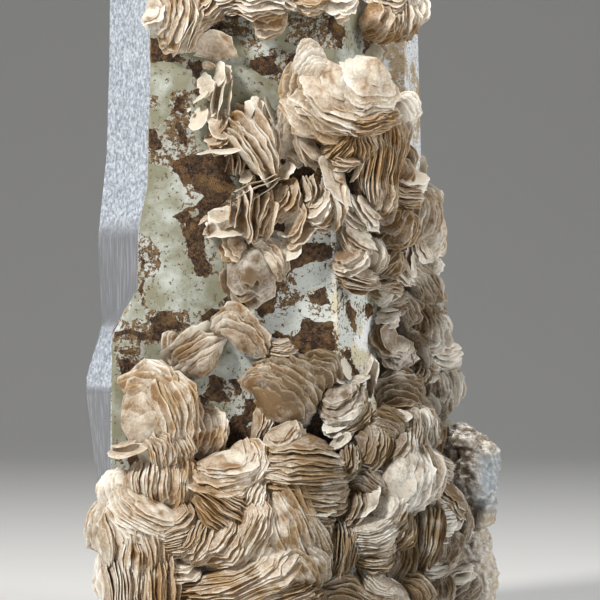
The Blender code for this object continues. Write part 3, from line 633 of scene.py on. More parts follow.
def plate_tree(calcite):
    """Geometry nodes that grow every rosette of a piece from one point each."""
    floats = ("Plate pitch", "Half thickness", "Raggedness", "Waviness", "Looseness")
    integers = ("Segments", "Seed")
    rosettes = wire = new_tree("calcite_plates", "Rosettes", floats, integers)
    pitch, half_thickness, raggedness, waviness, loose, segments, seed = (
        rosettes.other(key) for key in floats + integers
    )

    def given(name, kind="FLOAT"):
        return wire.node("GeometryNodeInputNamedAttribute", {"data_type": kind}, {"Name": name})

    def store(geometry, name, value, kind="FLOAT"):
        return wire.node(
            "GeometryNodeStoreNamedAttribute", {"data_type": kind, "domain": "POINT"},
            {"Geometry": geometry, "Name": name, "Value": value},
        )

    def maths(operation, first, second=0.0):
        return wire.node("ShaderNodeMath", {"operation": operation}, {0: first, 1: second})

    def cross(first, second):
        return wire.node("ShaderNodeVectorMath", {"operation": "CROSS_PRODUCT"}, {0: first, 1: second})

    def bent(spot):
        """The place, moved the way the plates around it bend."""
        broad = spot.speckle(170.0, 1.0).other("Color") - 0.5
        close = spot.speckle(480.0, 1.0).other("Color") - 0.5
        return spot + broad * BROAD_BEND + close * CLOSE_BEND

    def chance(number, low=-1.0, high=1.0):
        """An even random number for each plate."""
        index = wire.node("GeometryNodeInputIndex")
        return wire.node(
            "FunctionNodeRandomValue", {"data_type": "FLOAT"},
            {2: low, 3: high, "ID": index, "Seed": seed * 40 + number}, out=1,
        )

    # One point for each plate, with t running from -1 to 1 through the stack
    stack, reach, spread, fan, cup, roll, dome, slant, twist = (
        given(n) for n in ("stack", "reach", "spread", "fan", "cup", "roll", "dome", "slant", "twist")
    )
    way_out, normal = given("way_out", "FLOAT_VECTOR"), given("normal", "FLOAT_VECTOR")
    side = cross(normal, way_out)
    single = stack.ramp(MANY_PLATES, FEW_BLADES)  # 1 where only a few blades stand together
    count = maths("MAXIMUM", maths("ROUND", (stack - single * (0.5 * MM)) / pitch), 1.0) + 1
    dome = dome * (1 - single)
    plates = wire.node(
        "GeometryNodeDuplicateElements", {"domain": "POINT"}, {"Geometry": rosettes, "Amount": count}
    )
    step = 2 / (count - 1)
    plates = store(plates, "t", (plates.other("Duplicate Index") + chance(1) * 0.6) * step - 1)
    plates = store(plates, "step", step)
    t, step = given("t"), given("step")

    def size_at(level):
        """The size of the plate at that level of the stack, as a share of the largest one's."""
        toward = (level + 1) / 2
        return (1 - level * level * END_ROUNDING) * maths("SQRT", 1 - dome * toward * toward)

    tilt = fan / 2 * t + chance(2) * (0.06 + single * 0.08) * loose
    plate_out = way_out * maths("COSINE", tilt) + normal * maths("SINE", tilt)
    plate_up = normal * maths("COSINE", tilt) - way_out * maths("SINE", tilt)
    turned = twist / 2 * t + chance(3) * (0.07 + single * 0.12) * loose
    plate_side = side * maths("COSINE", turned) + plate_up * maths("SINE", turned)
    plate_up = plate_up * maths("COSINE", turned) - side * maths("SINE", turned)
    toward = (t + 1) / 2
    centre = (
        wire.node("GeometryNodeInputPosition") + (plate_out - way_out) * (reach * PLATE_FAN_ROOT)
        + normal * (stack / 2 * t) - side * (stack * twist / 8 * t * t)
        - plate_out * (reach * slant * toward * toward)
        + side * (chance(5) * 0.07 * spread) + plate_out * (chance(6) * 0.08 * reach)
    )
    plates = store(plates, "centre", centre, "FLOAT_VECTOR")
    plates = store(plates, "plate_out", plate_out, "FLOAT_VECTOR")
    plates = store(plates, "plate_side", plate_side, "FLOAT_VECTOR")
    plates = store(plates, "plate_up", plate_up, "FLOAT_VECTOR")
    plates = store(plates, "size", size_at(t) * (1 + chance(4) * 0.12 * loose))
    plates = store(plates, "own", chance(7, 0.0, 90.0))
    plates = store(plates, "shade", given("tone") + chance(8) * 0.10)

    # One lens, closed all round, whose equator is the plate's rim
    lens = wire.node("GeometryNodeMeshUVSphere", {}, {"Segments": segments, "Rings": 4, "Radius": 1.0})
    _, _, height = wire.node("GeometryNodeInputPosition").split()
    on_rim = maths("LESS_THAN", maths("ABSOLUTE", height), 0.05)
    lens = wire.node(
        "GeometryNodeSetShadeSmooth", {"domain": "EDGE"},
        {"Geometry": lens, "Selection": on_rim, "Shade Smooth": False},
    )
    lens = store(lens, "unit", wire.node("GeometryNodeInputPosition"), "FLOAT_VECTOR")
    lens = set_on(plates, lens)
    u, v, w = given("unit", "FLOAT_VECTOR").split()
    flat = maths("SQRT", u * u + v * v)
    blunt = maths("SIGN", w) * maths("ABSOLUTE", w) ** 0.4
    edge = 1 - (1 - flat.clip()) ** 2.2
    u, v = u / flat, v / flat
    own, group, size = given("own"), given("group"), given("size")

    def rim_noise(bend, level):
        """Noise that runs round the rim. level parts one plate's from the next one's."""
        spot = wire.node("ShaderNodeCombineXYZ", {}, {0: u * bend, 1: v * bend, 2: level})
        return spot.speckle(1.0, 2.0, 0.55) - 0.5

    outline = 1 + raggedness * (1 + single * 0.2) * (
        rim_noise(1.1, group + t * 1.2) * 1.5 + rim_noise(2.1, own) * 1.3 + rim_noise(5.2, own + 3) * 1.4
    )
    share = ROOT_SHARE + maths("GREATER_THAN", u, 0.0) * (1 - ROOT_SHARE)
    forward = edge * outline * size * reach * u * share
    sideways = edge * outline * size * spread * v
    wave = rim_noise(1.4, group + t * 0.6 + 40) * 1.6 + rim_noise(2.4, own + 7) * 0.3
    thickness = half_thickness * (0.5 + 0.5 * stack.ramp(0.8 * MM, 3.0 * MM))
    lift = thickness * blunt + edge * edge * (
        wave * waviness * reach - cup - roll * v * v
    )
    spot = (
        given("centre", "FLOAT_VECTOR") + given("plate_out", "FLOAT_VECTOR") * forward
        + given("plate_side", "FLOAT_VECTOR") * sideways + given("plate_up", "FLOAT_VECTOR") * lift
    )
    lens = wire.node("GeometryNodeSetPosition", {}, {"Geometry": lens, "Position": bent(spot)})
    beyond = t + step * maths("SIGN", w)
    under_next = maths("LESS_THAN", maths("ABSOLUTE", beyond), 1 + step * 0.4)
    cover = (size_at(beyond) / size_at(t) - edge) * reach
    lens = store(lens, "inward", (1 - edge) * reach / MM)
    lens = store(lens, "layer", (t * stack / 2 + thickness * w) / MM)
    # Where the next plate covers this one, the gap is painted brown: partly iron stain, partly painted
    # shade deep in the gap.
    hidden = under_next * (1 - single * 0.8) * (1 - dome * (t * maths("SIGN", w)).ramp(-0.6, 0.4))
    lens = store(lens, "stain_and_gap_shade", hidden * cover.ramp(0.08 * MM, 0.8 * MM))

    # The brown core that fills the rosette's inside
    core = wire.node("GeometryNodeMeshUVSphere", {}, {"Segments": 12, "Rings": 8, "Radius": 1.0})
    core = store(core, "unit", wire.node("GeometryNodeInputPosition"), "FLOAT_VECTOR")
    middles = store(rosettes, "centre", wire.node("GeometryNodeInputPosition"), "FLOAT_VECTOR")
    core = set_on(middles, core)
    u, v, w = given("unit", "FLOAT_VECTOR").split()
    thickness = stack * (0.34 - 0.34 * dome * maths("GREATER_THAN", w, 0.0))
    filling = 1 - 0.9 * single - 0.3 * dome
    spot = (
        given("centre", "FLOAT_VECTOR") + way_out * (reach * (u * filling * 0.46 - 0.28))
        + side * (spread * v * filling * 0.55)
        + normal * (thickness * w - cup * 0.4 * (u * u + v * v) - cup * 0.25)
    )
    core = wire.node("GeometryNodeSetPosition", {}, {"Geometry": core, "Position": bent(spot)})
    # The core gets the gaps' brown too: partly stain, partly painted shade deep inside the rosette.
    core = store(store(store(core, "inward", 3.0), "stain_and_gap_shade", 0.7), "layer", 0.0)
    core = store(core, "shade", 0.0)
    return finish_tree([core, lens], calcite)


calcite, wire, place = new_material("calcite plates")
inward, stain_and_gap_shade, shade, layer = (
    wire.node("ShaderNodeAttribute", {"attribute_name": mark}, out=2) for mark in MARKS
)
cloud = place.speckle(420.0, 3.0, 0.6)
patch = place.speckle(130.0, 2.0, 0.5)
fine = place.speckle(2400.0, 2.0, 0.6)
sheets = wire.node(
    "ShaderNodeCombineXYZ", {}, {0: layer * 9.0, 1: inward * 0.5 + cloud * 3.0, 2: shade * 40.0}
)
sheets = sheets.speckle(1.0, 3.0, 0.7).ramp(0.36, 0.64, smooth=False)
stained = place.speckle(300.0, 4.0, 0.65).ramp(0.54, 0.66) * 0.6
dulled = shade.ramp(0.0, -0.2)  # a negative tone marks the rosettes under grey dust
tone = wire.node("ShaderNodeMath", {"operation": "ABSOLUTE"}, {0: shade})
bright = tone + (cloud - 0.5) * 1.5 + (patch - 0.5) * 1.7 + (sheets - 0.5) * 0.4 + (fine - 0.5) * 0.8
bright = (bright - stained * 0.9).ramp(0.0, 1.0, smooth=False)
face_colour = bright.mix((0.26, 0.150, 0.064, 1), (0.82, 0.745, 0.62, 1))
# The pale rim band is partly the rims' own paler colour and partly a painted highlight where light
# catches the plates' edges.
rim_colour = bright.mix((0.58, 0.41, 0.22, 1), (1.0, 0.97, 0.895, 1))
colour = (inward.ramp(RIM_WIDTH, 0.02) * (0.6 + sheets * 0.5)).clip().mix(face_colour, rim_colour)
# deep is the gaps' brown: partly iron stain, partly painted shade between the plates.
deep = fine.ramp(0.3, 0.7).mix((0.20, 0.092, 0.027, 1), (0.50, 0.29, 0.11, 1))
colour = (stain_and_gap_shade * (0.7 + cloud * 0.6)).clip().mix(colour, deep)
# Towards the lower right, and on the dullest rosettes, the colour turns greyer and darker: grey dust on
# the dullest rosettes, and towards the lower right partly grey dust and partly painted shade
x, _, z = place.split()
dust_and_shade = x.ramp(2 * MM, 16 * MM) * z.ramp(78 * MM, 36 * MM)
dust_and_shade = (dust_and_shade + dulled).clip()
colour = (dust_and_shade * (1.1 - bright * 0.7)).clip().mix(colour, colour * (0.56, 0.605, 0.66))
plate_bump = bump(fine * 0.9 + sheets * 0.5 + cloud * 1.5, 0.8, 0.10 * MM)
shader = principled(
    wire, Base_Color=colour, Roughness=0.5, Normal=plate_bump, Subsurface_Weight=0.2,
    Subsurface_Radius=(1.0, 0.7, 0.45), Subsurface_Scale=0.4 * MM,
)
cover_with(shader)
plates_tree = plate_tree(calcite)


def rosette(x, y, z, reach, spread, stack, trace, face, fan=None, cup=0.0, roll=0.0, dome=0.3,
            slant=0.15, twist=0, yaw=0, tone=0.5):
    """One rosette's place, size and pose in millimetres and degrees.

    Its plates reach that far out of the root and spread that far to either side, and stack is the
    thickness of the pile. trace is the direction of the plates' edges as the viewer sees them, and
    face is how far the plates turn from edge-on to facing the viewer. fan opens the pile like a
    book, and twist like a hand of cards. cup bends the whole rim back and roll its two sides, dome
    makes the plates on the viewer's side smaller, slant steps them back to the root, and yaw turns
    the whole rosette about the upright axis. tone runs from tan to white, and below 0 the rosette
    is under grey dust.
    """
    trace, face = math.radians(trace), math.radians(face)
    across = Vector((-math.sin(trace), 0, math.cos(trace)))
    viewer = Vector((0, -1, 0))
    turn = Matrix.Rotation(math.radians(yaw), 3, "Z")
    return {
        "place": Vector((x, y, z)) * MM,
        "normal": turn @ (across * math.cos(face) + viewer * math.sin(face)),
        "way_out": turn @ (viewer * math.cos(face) - across * math.sin(face)),
        "reach": reach * MM, "spread": spread * MM, "stack": stack * MM,
        "fan": fan, "twist": math.radians(twist), "cup": cup * MM, "roll": roll * MM,
        "dome": dome, "slant": slant, "tone": tone,
    }


def grow_plates(name, rosettes, fan=16, segments=30, pitch=0.17, thick=0.22, loose=1.0):
    """One piece of calcite: the rosettes' plates, cut flat where the specimen was cut.

    fan is for the rosettes that don't have their own. segments is the number of corners on a rim,
    pitch the distance from plate to plate, thick a plate's thickness, and loose how much the plates
    stray from their places in the pile.
    """
    for r in rosettes:
        r["fan"] = math.radians(fan if r["fan"] is None else r["fan"])
    seeds = bpy.data.meshes.new(name)
    seeds.from_pydata([r["place"] for r in rosettes], [], [])
    for key in ("reach", "spread", "stack", "fan", "twist", "cup", "roll", "dome", "slant", "tone"):
        values = [r[key] for r in rosettes]
        seeds.attributes.new(key, "FLOAT", "POINT").data.foreach_set("value", values)
    for key in ("normal", "way_out"):
        flat = [c for r in rosettes for c in r[key]]
        seeds.attributes.new(key, "FLOAT_VECTOR", "POINT").data.foreach_set("vector", flat)
    chance = random.Random(name)
    groups = [chance.uniform(0, 60) for _ in rosettes]
    seeds.attributes.new("group", "FLOAT", "POINT").data.foreach_set("value", groups)
    grown = add_object(name + "_plates", seeds)
    grow(grown, plates_tree, {
        "Plate pitch": pitch * MM, "Half thickness": thick / 2 * MM, "Raggedness": RAGGEDNESS,
        "Waviness": WAVINESS, "Looseness": loose, "Segments": segments, "Seed": chance.randrange(1000),
    })
    plain = grown.data
    spare = [
        a.name for a in plain.attributes
        if a.domain == "POINT" and a.name not in MARKS and not a.is_internal and not a.is_required
    ]
    for key in spare:
        plain.attributes.remove(plain.attributes[key])
    if min(v.co.z for v in plain.vertices) < 0:
        cut_flat(plain)
    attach(grown, "root")
    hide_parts(name)


def cut_flat(mesh):
    """Takes off what lies under the cut, and closes each plate there."""
    shape = bmesh.new()
    shape.from_mesh(mesh)
    cut = bmesh.ops.bisect_plane(
        shape, geom=shape.verts[:] + shape.edges[:] + shape.faces[:], dist=1e-7,
        plane_co=(0, 0, 0), plane_no=(0, 0, -1), clear_outer=True,
    )
    edges = [e for e in cut["geom_cut"] if isinstance(e, bmesh.types.BMEdge) and e.is_valid]
    bmesh.ops.holes_fill(shape, edges=edges)
    shape.to_mesh(mesh)
    shape.free()


# The blades at the upper left: a stack that overhangs the crystal's corner, a half-moon, two upright
# sheets, a small white triangle and an open fan. Each grew straight out of the coat by one edge.

grow_plates("calcite_left_blades", [
    rosette(-10.2, -14.6, 93.6, 4.4, 5.6, 5.0, 82, 46, fan=20, cup=0.8, slant=0.3),
    rosette(-12.4, -16.0, 93.3, 2.4, 2.4, 1.4, 62, 60, tone=1),
    rosette(-7.5, -15.4, 90.6, 2.8, 3.4, 1.0, 74, 10, tone=0.85),
    rosette(-5.1, -14.6, 94.8, 2.8, 3.0, 1.6, 38, 42),
])
grow_plates("calcite_half_moon", [
    rosette(-3.9, -14.0, 88.2, 4.0, 4.4, 0.5, 172, 62),
    rosette(-2.7, -14.0, 84.6, 2.0, 1.6, 0.5, 80, 40, tone=1),
])
grow_plates("calcite_upright_sheets", [
    rosette(-2.9, -14.4, 81.3, 2.6, 3.2, 0.5, 88, 6, tone=1),
    rosette(-1.6, -14.2, 81.5, 2.4, 3.2, 0.5, 93, 8, tone=0.95),
    rosette(-4.7, -13.4, 82.8, 2.2, 2.4, 0.4, 84, 66, tone=0.7),
])
grow_plates("calcite_white_triangle", [
    rosette(-6.9, -14.6, 78.6, 3.2, 3.0, 0.4, 50, 40, tone=2.6),
    rosette(-5.1, -14.6, 80.1, 2.8, 2.4, 0.7, 38, 26, tone=2.4),
])
grow_plates("calcite_left_fan", [
    rosette(-2.4, -13.8, 76.8, 3.8, 3.8, 0.8, -6, 62, slant=0.3, tone=0.6),
    rosette(-2.4, -15.2, 74.0, 3.0, 3.8, 0.4, 2, 8, tone=1.3),
    rosette(2.1, -14.8, 74.1, 3.4, 5.4, 2.8, 118, 32, fan=26, tone=0.6, twist=14),
    rosette(3.9, -15.2, 70.2, 2.4, 2.4, 0.8, -54, 20, tone=1),
    rosette(6.3, -14.6, 70.5, 2.0, 1.8, 0.6, 68, 50, tone=0.9),
    rosette(0.8, -13.8, 69.5, 1.8, 1.5, 0.7, 60, 62, tone=0.55),
    rosette(-0.9, -14.0, 71.7, 2.0, 1.9, 1.4, 86, 14, tone=0.3),
    rosette(-2.4, -13.6, 75.9, 3.2, 3.0, 1.6, 40, 40, tone=0.35),
    rosette(0.4, -14.2, 76.2, 2.6, 2.6, 1.6, 100, 40),
], pitch=0.26, loose=2.0)

# The growths along the coat's upper end: a row of blades, a brown disc and a small point on the
# broad face, and a cluster of round discs that wraps the corner at the right.

grow_plates("calcite_top_middle_blades", [
    rosette(2.7, -15.0, 96.6, 4.2, 4.8, 2.4, -3, 34, tone=0.85),
    rosette(4.2, -14.0, 93.6, 3.6, 3.0, 1.2, 8, 66, tone=0.25),
    rosette(-1.2, -14.6, 96.3, 3.0, 3.0, 1.8, 20, 40),
    rosette(6.6, -14.4, 96.3, 2.8, 3.0, 1.6, -30, 34, tone=0.6),
])
grow_plates("calcite_top_brown_disc", [
    rosette(10.8, -13.9, 96.3, 3.2, 3.2, 1.6, 0, 60, tone=0.1),
])
grow_plates("calcite_top_point", [
    rosette(15.4, -13.2, 95.4, 3.2, 1.8, 1.2, 4, 58, tone=0.7),
    rosette(14.4, -13.4, 96.3, 3.0, 1.6, 0.8, -30, 50, tone=0.8),
])
grow_plates("calcite_top_right_discs", [
    rosette(21.1, -6.4, 93.0, 3.6, 3.4, 2.4, 50, 58, slant=0.3, tone=0.25),
    rosette(24.0, -4.0, 93.6, 3.2, 3.6, 2.8, 84, 42, tone=0.6, dome=0.5),
    rosette(25.5, -2.0, 96.0, 3.2, 3.0, 2.6, 50, 46, tone=0.7, dome=0.5),
    rosette(22.5, -5.0, 96.6, 3.2, 3.0, 2.6, -10, 40),
    rosette(20.4, -7.6, 88.2, 2.2, 1.8, 0.8, 80, 60, tone=0.9),
])

# The upper rosette, the largest one that stands by itself: white plates piled into a cap that bends
# down all round, over browner stacks that hang under it like the leaves of a book.

grow_plates("calcite_upper_rosette", [
    rosette(13.5, -16.6, 81.8, 6.0, 5.8, 6.6, -34, 52, cup=2.2, dome=0.5, slant=0.45, tone=0.55),
    rosette(18.9, -18.0, 84.0, 4.8, 5.2, 5.1, -24, 52, cup=2.6, dome=0.5, slant=0.4, tone=0.7),
    rosette(11.1, -16.0, 85.5, 3.4, 2.8, 3.5, -150, 50, cup=0.8, dome=0.5, tone=0.55),
    rosette(9.9, -14.8, 83.1, 3.4, 3.8, 2.6, -88, 50, cup=1, tone=0.2),
    rosette(14.7, -16.8, 79.8, 3.8, 4.6, 2.4, -26, 36, cup=0.8, tone=0.7),
    rosette(7.8, -13.6, 76.8, 3.4, 4.8, 1.6, -104, 60, cup=0.6, tone=0.3),
    # A stack seen from below: its low tone is partly its tan colour and partly painted shade under the
    # cap.
    rosette(11.7, -13.8, 76.2, 3.8, 4.4, 2.6, -18, -30, tone=0.15),
    rosette(14.7, -13.8, 75.3, 3.4, 3.6, 2.6, 60, 34, tone=0.2),
    rosette(2.1, -14.4, 79.3, 1.7, 2.2, 0.8, 82, 62, tone=0.95),
    rosette(4.4, -14.6, 79.2, 2.6, 3.4, 0.8, -68, 22, tone=0.95),
    rosette(10.0, -14.2, 73.5, 2.8, 3.4, 0.9, -58, 48, tone=0.6),
    rosette(8.2, -13.8, 72.6, 1.6, 1.6, 0.6, -40, 40, tone=0.8),
    rosette(19.2, -15.4, 79.2, 4.0, 4.0, 4.4, 4, 24, tone=0.4),
    rosette(23.4, -9.6, 79.0, 3.2, 2.8, 3.3, 124, 48, cup=1, dome=0.5, slant=0.35, tone=1),
    rosette(22.8, -9.4, 75.0, 3.0, 3.6, 1.8, 76, 40),
    rosette(18.3, -13.4, 75.3, 3.4, 4.2, 2.9, 98, 22, tone=0.25),
    rosette(20.4, -11.8, 72.3, 4.0, 6.6, 4.8, 88, 12, fan=8, tone=0.25, roll=0.6),
    rosette(21.0, -11.0, 67.8, 3.4, 3.4, 2.6, 96, 30, tone=0.35),
    rosette(16.2, -13.8, 72.0, 2.6, 2.8, 1.2, -20, 34, tone=0.35),
], fan=11)

# The middle rosettes: loose sprays of small, torn blades that grew through each other, and the
# rosette on the crystal's right edge beside them.

grow_plates("calcite_middle_rosettes", [
    rosette(-2.7, -14.4, 63.9, 2.6, 3.2, 0.8, 14, 46, tone=0.95),
    rosette(-5.0, -14.0, 62.4, 2.2, 2.2, 0.8, 52, 40, tone=0.6),
    rosette(-2.1, -15.2, 61.1, 2.6, 2.9, 0.8, 5, 30, roll=0.6, tone=1),
    rosette(1.8, -15.0, 63.9, 3.6, 3.8, 3.6, 80, 22, fan=28, tone=0.55, twist=16),
    rosette(3.3, -14.8, 67.3, 2.8, 3.4, 1.2, 36, 16, tone=0.9),
    rosette(6.6, -14.2, 66.0, 3.2, 3.4, 2.2, 66, 46, tone=0.3),
    rosette(6.1, -14.4, 59.6, 2.8, 2.8, 0.8, -24, 60, tone=0.75),
    rosette(7.6, -14.8, 59.0, 1.8, 1.9, 0.4, 62, 28, tone=1),
    rosette(8.7, -14.4, 63.1, 2.8, 3.8, 1.2, 86, 50),
    rosette(11.5, -15.0, 65.0, 3.4, 3.0, 2.4, 42, 48, slant=0.3, tone=0.75),
    rosette(12.0, -14.6, 62.6, 2.4, 2.4, 1.1, -8, 16, tone=0.95),
    rosette(10.2, -14.6, 66.9, 2.6, 3.4, 1.6, 82, 34, tone=0.6),
    rosette(15.3, -14.0, 65.1, 2.4, 2.8, 1.1, 96, 50),
    rosette(13.9, -14.6, 68.5, 2.8, 3.6, 1.0, -50, 42, tone=0.65),
    rosette(9.0, -14.8, 68.2, 2.4, 2.6, 0.6, -32, 24, tone=0.95),
    rosette(12.1, -14.2, 71.2, 2.6, 3.4, 0.8, 178, 54, roll=1, tone=0.7),
    rosette(15.0, -14.0, 70.5, 2.2, 2.4, 0.6, -4, 30, tone=0.9),
    rosette(17.4, -13.6, 70.8, 2.2, 2.8, 0.6, 56, 16, tone=0.85),
], pitch=0.30, loose=2.6)
grow_plates("calcite_edge_rosette", [
    rosette(18.3, -11.6, 63.9, 3.0, 3.2, 2.4, -56, 26, tone=0.6),
    rosette(19.8, -9.6, 65.1, 2.0, 2.2, 0.8, 70, 50, tone=0.95),
    rosette(17.4, -12.2, 60.1, 3.0, 3.4, 1.4, -48, 40, tone=0.6),
    rosette(16.9, -12.4, 57.6, 2.8, 2.8, 1.8, 24, 60, tone=0.45),
    rosette(19.9, -10.0, 57.6, 2.6, 2.6, 1.4, 94, 46, tone=1),
    rosette(17.7, -11.8, 54.6, 3.0, 3.4, 1.8, -22, 26, tone=0.55),
], pitch=0.22, loose=1.8)

# The growths on the lower part of the broad face: a disc under grey dust, a tan fan, a crescent of
# bent plates, a dome like a shell, and the small plates at its right.

grow_plates("calcite_grey_disc", [
    rosette(2.1, -14.6, 56.1, 6.4, 3.6, 1.3, -12, 68, cup=0.9, roll=0.8, dome=0.1, slant=0.2, tone=-0.22),
    rosette(4.6, -14.0, 57.1, 3.2, 3.6, 1.2, 126, 60, tone=0.45),
    rosette(-0.6, -13.8, 58.5, 2.8, 2.4, 0.8, -42, 60, tone=0.25),
    rosette(-1.6, -13.6, 53.4, 1.9, 2.2, 0.8, -86, 50, tone=0.15),
    rosette(1.0, -13.4, 49.5, 1.5, 1.6, 0.7, -76, 56, tone=0.6),
], thick=0.18, loose=0.7)
grow_plates("calcite_tan_fan", [
    rosette(0.6, -14.4, 45.6, 3.4, 4.8, 1.5, 138, 56),
    rosette(-1.5, -14.2, 47.2, 2.4, 2.6, 1.2, 176, 50, tone=0.45),
    rosette(6.4, -13.8, 42.8, 2.4, 2.2, 3.2, 3, 22, tone=0.3),
])
grow_plates("calcite_crescent", [
    rosette(-6.3, -14.4, 42.5, 3.8, 4.6, 2.4, -148, 50, roll=1.2, slant=0.4),
    rosette(-7.1, -14.2, 43.5, 4.0, 4.8, 0.5, -146, 44, roll=1.2, tone=1),
    rosette(-9.6, -13.8, 44.0, 2.0, 2.7, 1.6, -72, 58),
])
grow_plates("calcite_shell_dome", [
    rosette(6.3, -15.6, 36.5, 5.0, 5.6, 5.5, 142, 52, cup=2, dome=0.3, slant=0.35, tone=-0.16),
    rosette(3.0, -14.6, 38.4, 3.0, 3.0, 1.4, 160, 60),
    rosette(3.4, -14.0, 32.7, 2.4, 3.2, 1.4, 84, 32, tone=0.35),
], fan=11, thick=0.18, loose=0.5)
grow_plates("calcite_right_plates", [
    rosette(12.3, -14.6, 40.5, 3.2, 3.1, 2.2, 150, 60, slant=0.3, tone=0.05),
    rosette(15.1, -14.4, 40.5, 2.4, 2.6, 0.6, -56, 36, tone=1),
    rosette(17.7, -13.6, 38.7, 1.8, 2.0, 0.6, 3, 44, tone=1),
    rosette(19.6, -11.8, 39.9, 2.2, 3.4, 0.6, 80, 24, tone=1),
    rosette(15.8, -14.8, 35.4, 3.6, 3.8, 3.0, 24, 50, slant=0.3, tone=0.3),
    rosette(14.7, -15.2, 32.4, 2.4, 2.6, 0.8, 14, 44, tone=0.75),
])

# The crust down the right side: rounded rosettes a few millimetres across, crowded onto the side
# faces of both crystals. Grey dust lies on them, and further down they are darker and greyer, partly
# from more dust and partly as painted shade.

grow_plates("calcite_right_crust", [
    rosette(25.3, -3.6, 72.3, 2.4, 2.4, 1.0, 80, 40, tone=0.38),
    rosette(23.7, -5.4, 70.5, 2.6, 2.2, 1.2, 60, 44, tone=0.3),
    rosette(27.8, -0.2, 71.4, 1.6, 1.4, 0.4, 96, 30, tone=1.49),
    rosette(25.2, -3.8, 69.5, 3.2, 3.2, 1.6, -12, 32, tone=1.49, cup=0.8),
    rosette(24.3, -5.0, 67.2, 3.4, 3.2, 2.2, -20, 26, tone=0.21),
    rosette(29.0, 1.5, 66.9, 2.4, 2.2, 1.6, 90, 52, tone=1.49),
    rosette(29.4, 2.1, 64.7, 1.2, 1.0, 0.8, 90, 52, tone=1.32),
    rosette(23.4, -5.4, 62.4, 3.8, 3.6, 3.0, 46, 56, slant=0.4, tone=0.3),
    rosette(27.3, -0.8, 63.9, 3.4, 4.2, 3.2, 82, 44, tone=0.64),
    rosette(28.6, 2.8, 61.2, 2.2, 2.2, 1.8, 90, 50, tone=1.23),
    rosette(21.6, -3.9, 60.6, 2.4, 2.6, 1.4, 20, 40, tone=0.3),
    rosette(27.6, 1.8, 58.2, 2.4, 2.2, 2.2, -62, 40, tone=0.47),
    rosette(24.3, -1.4, 56.1, 2.6, 3.2, 1.2, -60, 32, tone=0.47),
    rosette(25.8, 0.0, 55.8, 2.2, 2.6, 1.2, -66, 40, tone=0.55),
    rosette(29.8, 3.9, 56.1, 1.9, 1.6, 1.4, 60, 52, tone=1.49),
    rosette(22.2, -3.4, 56.7, 2.6, 3.0, 1.6, 40, 40, tone=0.21),
    rosette(27.3, 1.5, 53.2, 3.2, 3.8, 2.6, 118, 38, tone=0.64),
    rosette(29.5, 3.6, 51.9, 2.2, 3.2, 1.6, 92, 52, tone=1.23),
    rosette(22.0, -3.5, 53.6, 2.4, 2.6, 1.4, -12, 34, tone=0.13),
    rosette(22.2, -3.4, 51.5, 1.8, 1.6, 1.0, 30, 60, tone=1.06),
    rosette(22.5, -3.1, 48.6, 2.0, 2.0, 1.2, 4, 40, tone=1.32),
    rosette(25.3, -0.4, 49.5, 2.6, 3.0, 1.8, 114, 42, tone=0.55),
    rosette(24.0, -1.7, 50.7, 2.0, 2.0, 1.2, 10, 36, tone=0.3),
    rosette(24.3, -1.4, 43.6, 3.4, 3.0, 2.8, -34, 66, dome=0.8, slant=0.15, tone=0.55),
    rosette(22.5, -3.1, 45.0, 2.8, 3.0, 1.4, -70, 60, tone=0.13),
    rosette(26.2, 0.5, 43.2, 2.6, 3.4, 1.2, 102, 48, tone=0.55),
    rosette(29.4, 3.5, 46.5, 3.2, 3.2, 2.4, 120, 50, tone=0.81),
    rosette(30.9, 4.9, 47.0, 2.0, 1.9, 1.4, 104, 54, tone=1.49),
    rosette(27.6, 1.8, 47.7, 2.4, 2.6, 1.8, 110, 40, tone=0.38),
    rosette(30.9, 4.9, 43.1, 3.2, 2.8, 1.8, -18, 36, tone=1.4),
    rosette(29.1, 3.2, 43.5, 2.4, 2.4, 1.8, 10, 40, tone=0.47),
    rosette(31.5, 5.0, 40.4, 2.6, 2.4, 1.6, 0, 30, tone=0.55),
    rosette(28.5, 2.6, 40.6, 2.2, 2.4, 1.6, -30, 34, tone=0.3),
    rosette(29.7, 3.8, 37.2, 2.8, 3.0, 2.0, 86, 42, tone=0.64),
    rosette(32.1, 5.0, 37.4, 2.4, 3.2, 1.8, 95, 52, tone=1.23),
    rosette(24.6, -1.1, 36.6, 3.8, 3.9, 3.0, 176, 52, slant=0.4, tone=0.3),
    rosette(24.6, -1.1, 34.8, 2.4, 2.6, 1.2, 4, 40, tone=0.38),
    rosette(28.6, 2.8, 34.8, 2.0, 2.0, 1.4, 94, 52, tone=1.23),
    rosette(26.7, 0.9, 39.3, 2.4, 2.4, 1.8, 60, 40, tone=0.47),
    rosette(31.5, 5.0, 32.9, 2.4, 2.4, 0.6, 8, 12, tone=1.49),
    rosette(30.5, 4.5, 34.8, 2.4, 2.6, 2.0, 70, 34, tone=0.64),
], loose=1.5)

# The foot: rosettes that grew into each other in one thick mass round the front of the crystals,
# with a small disc above it and a mass of its own at the right. The saw cut it off flat below.

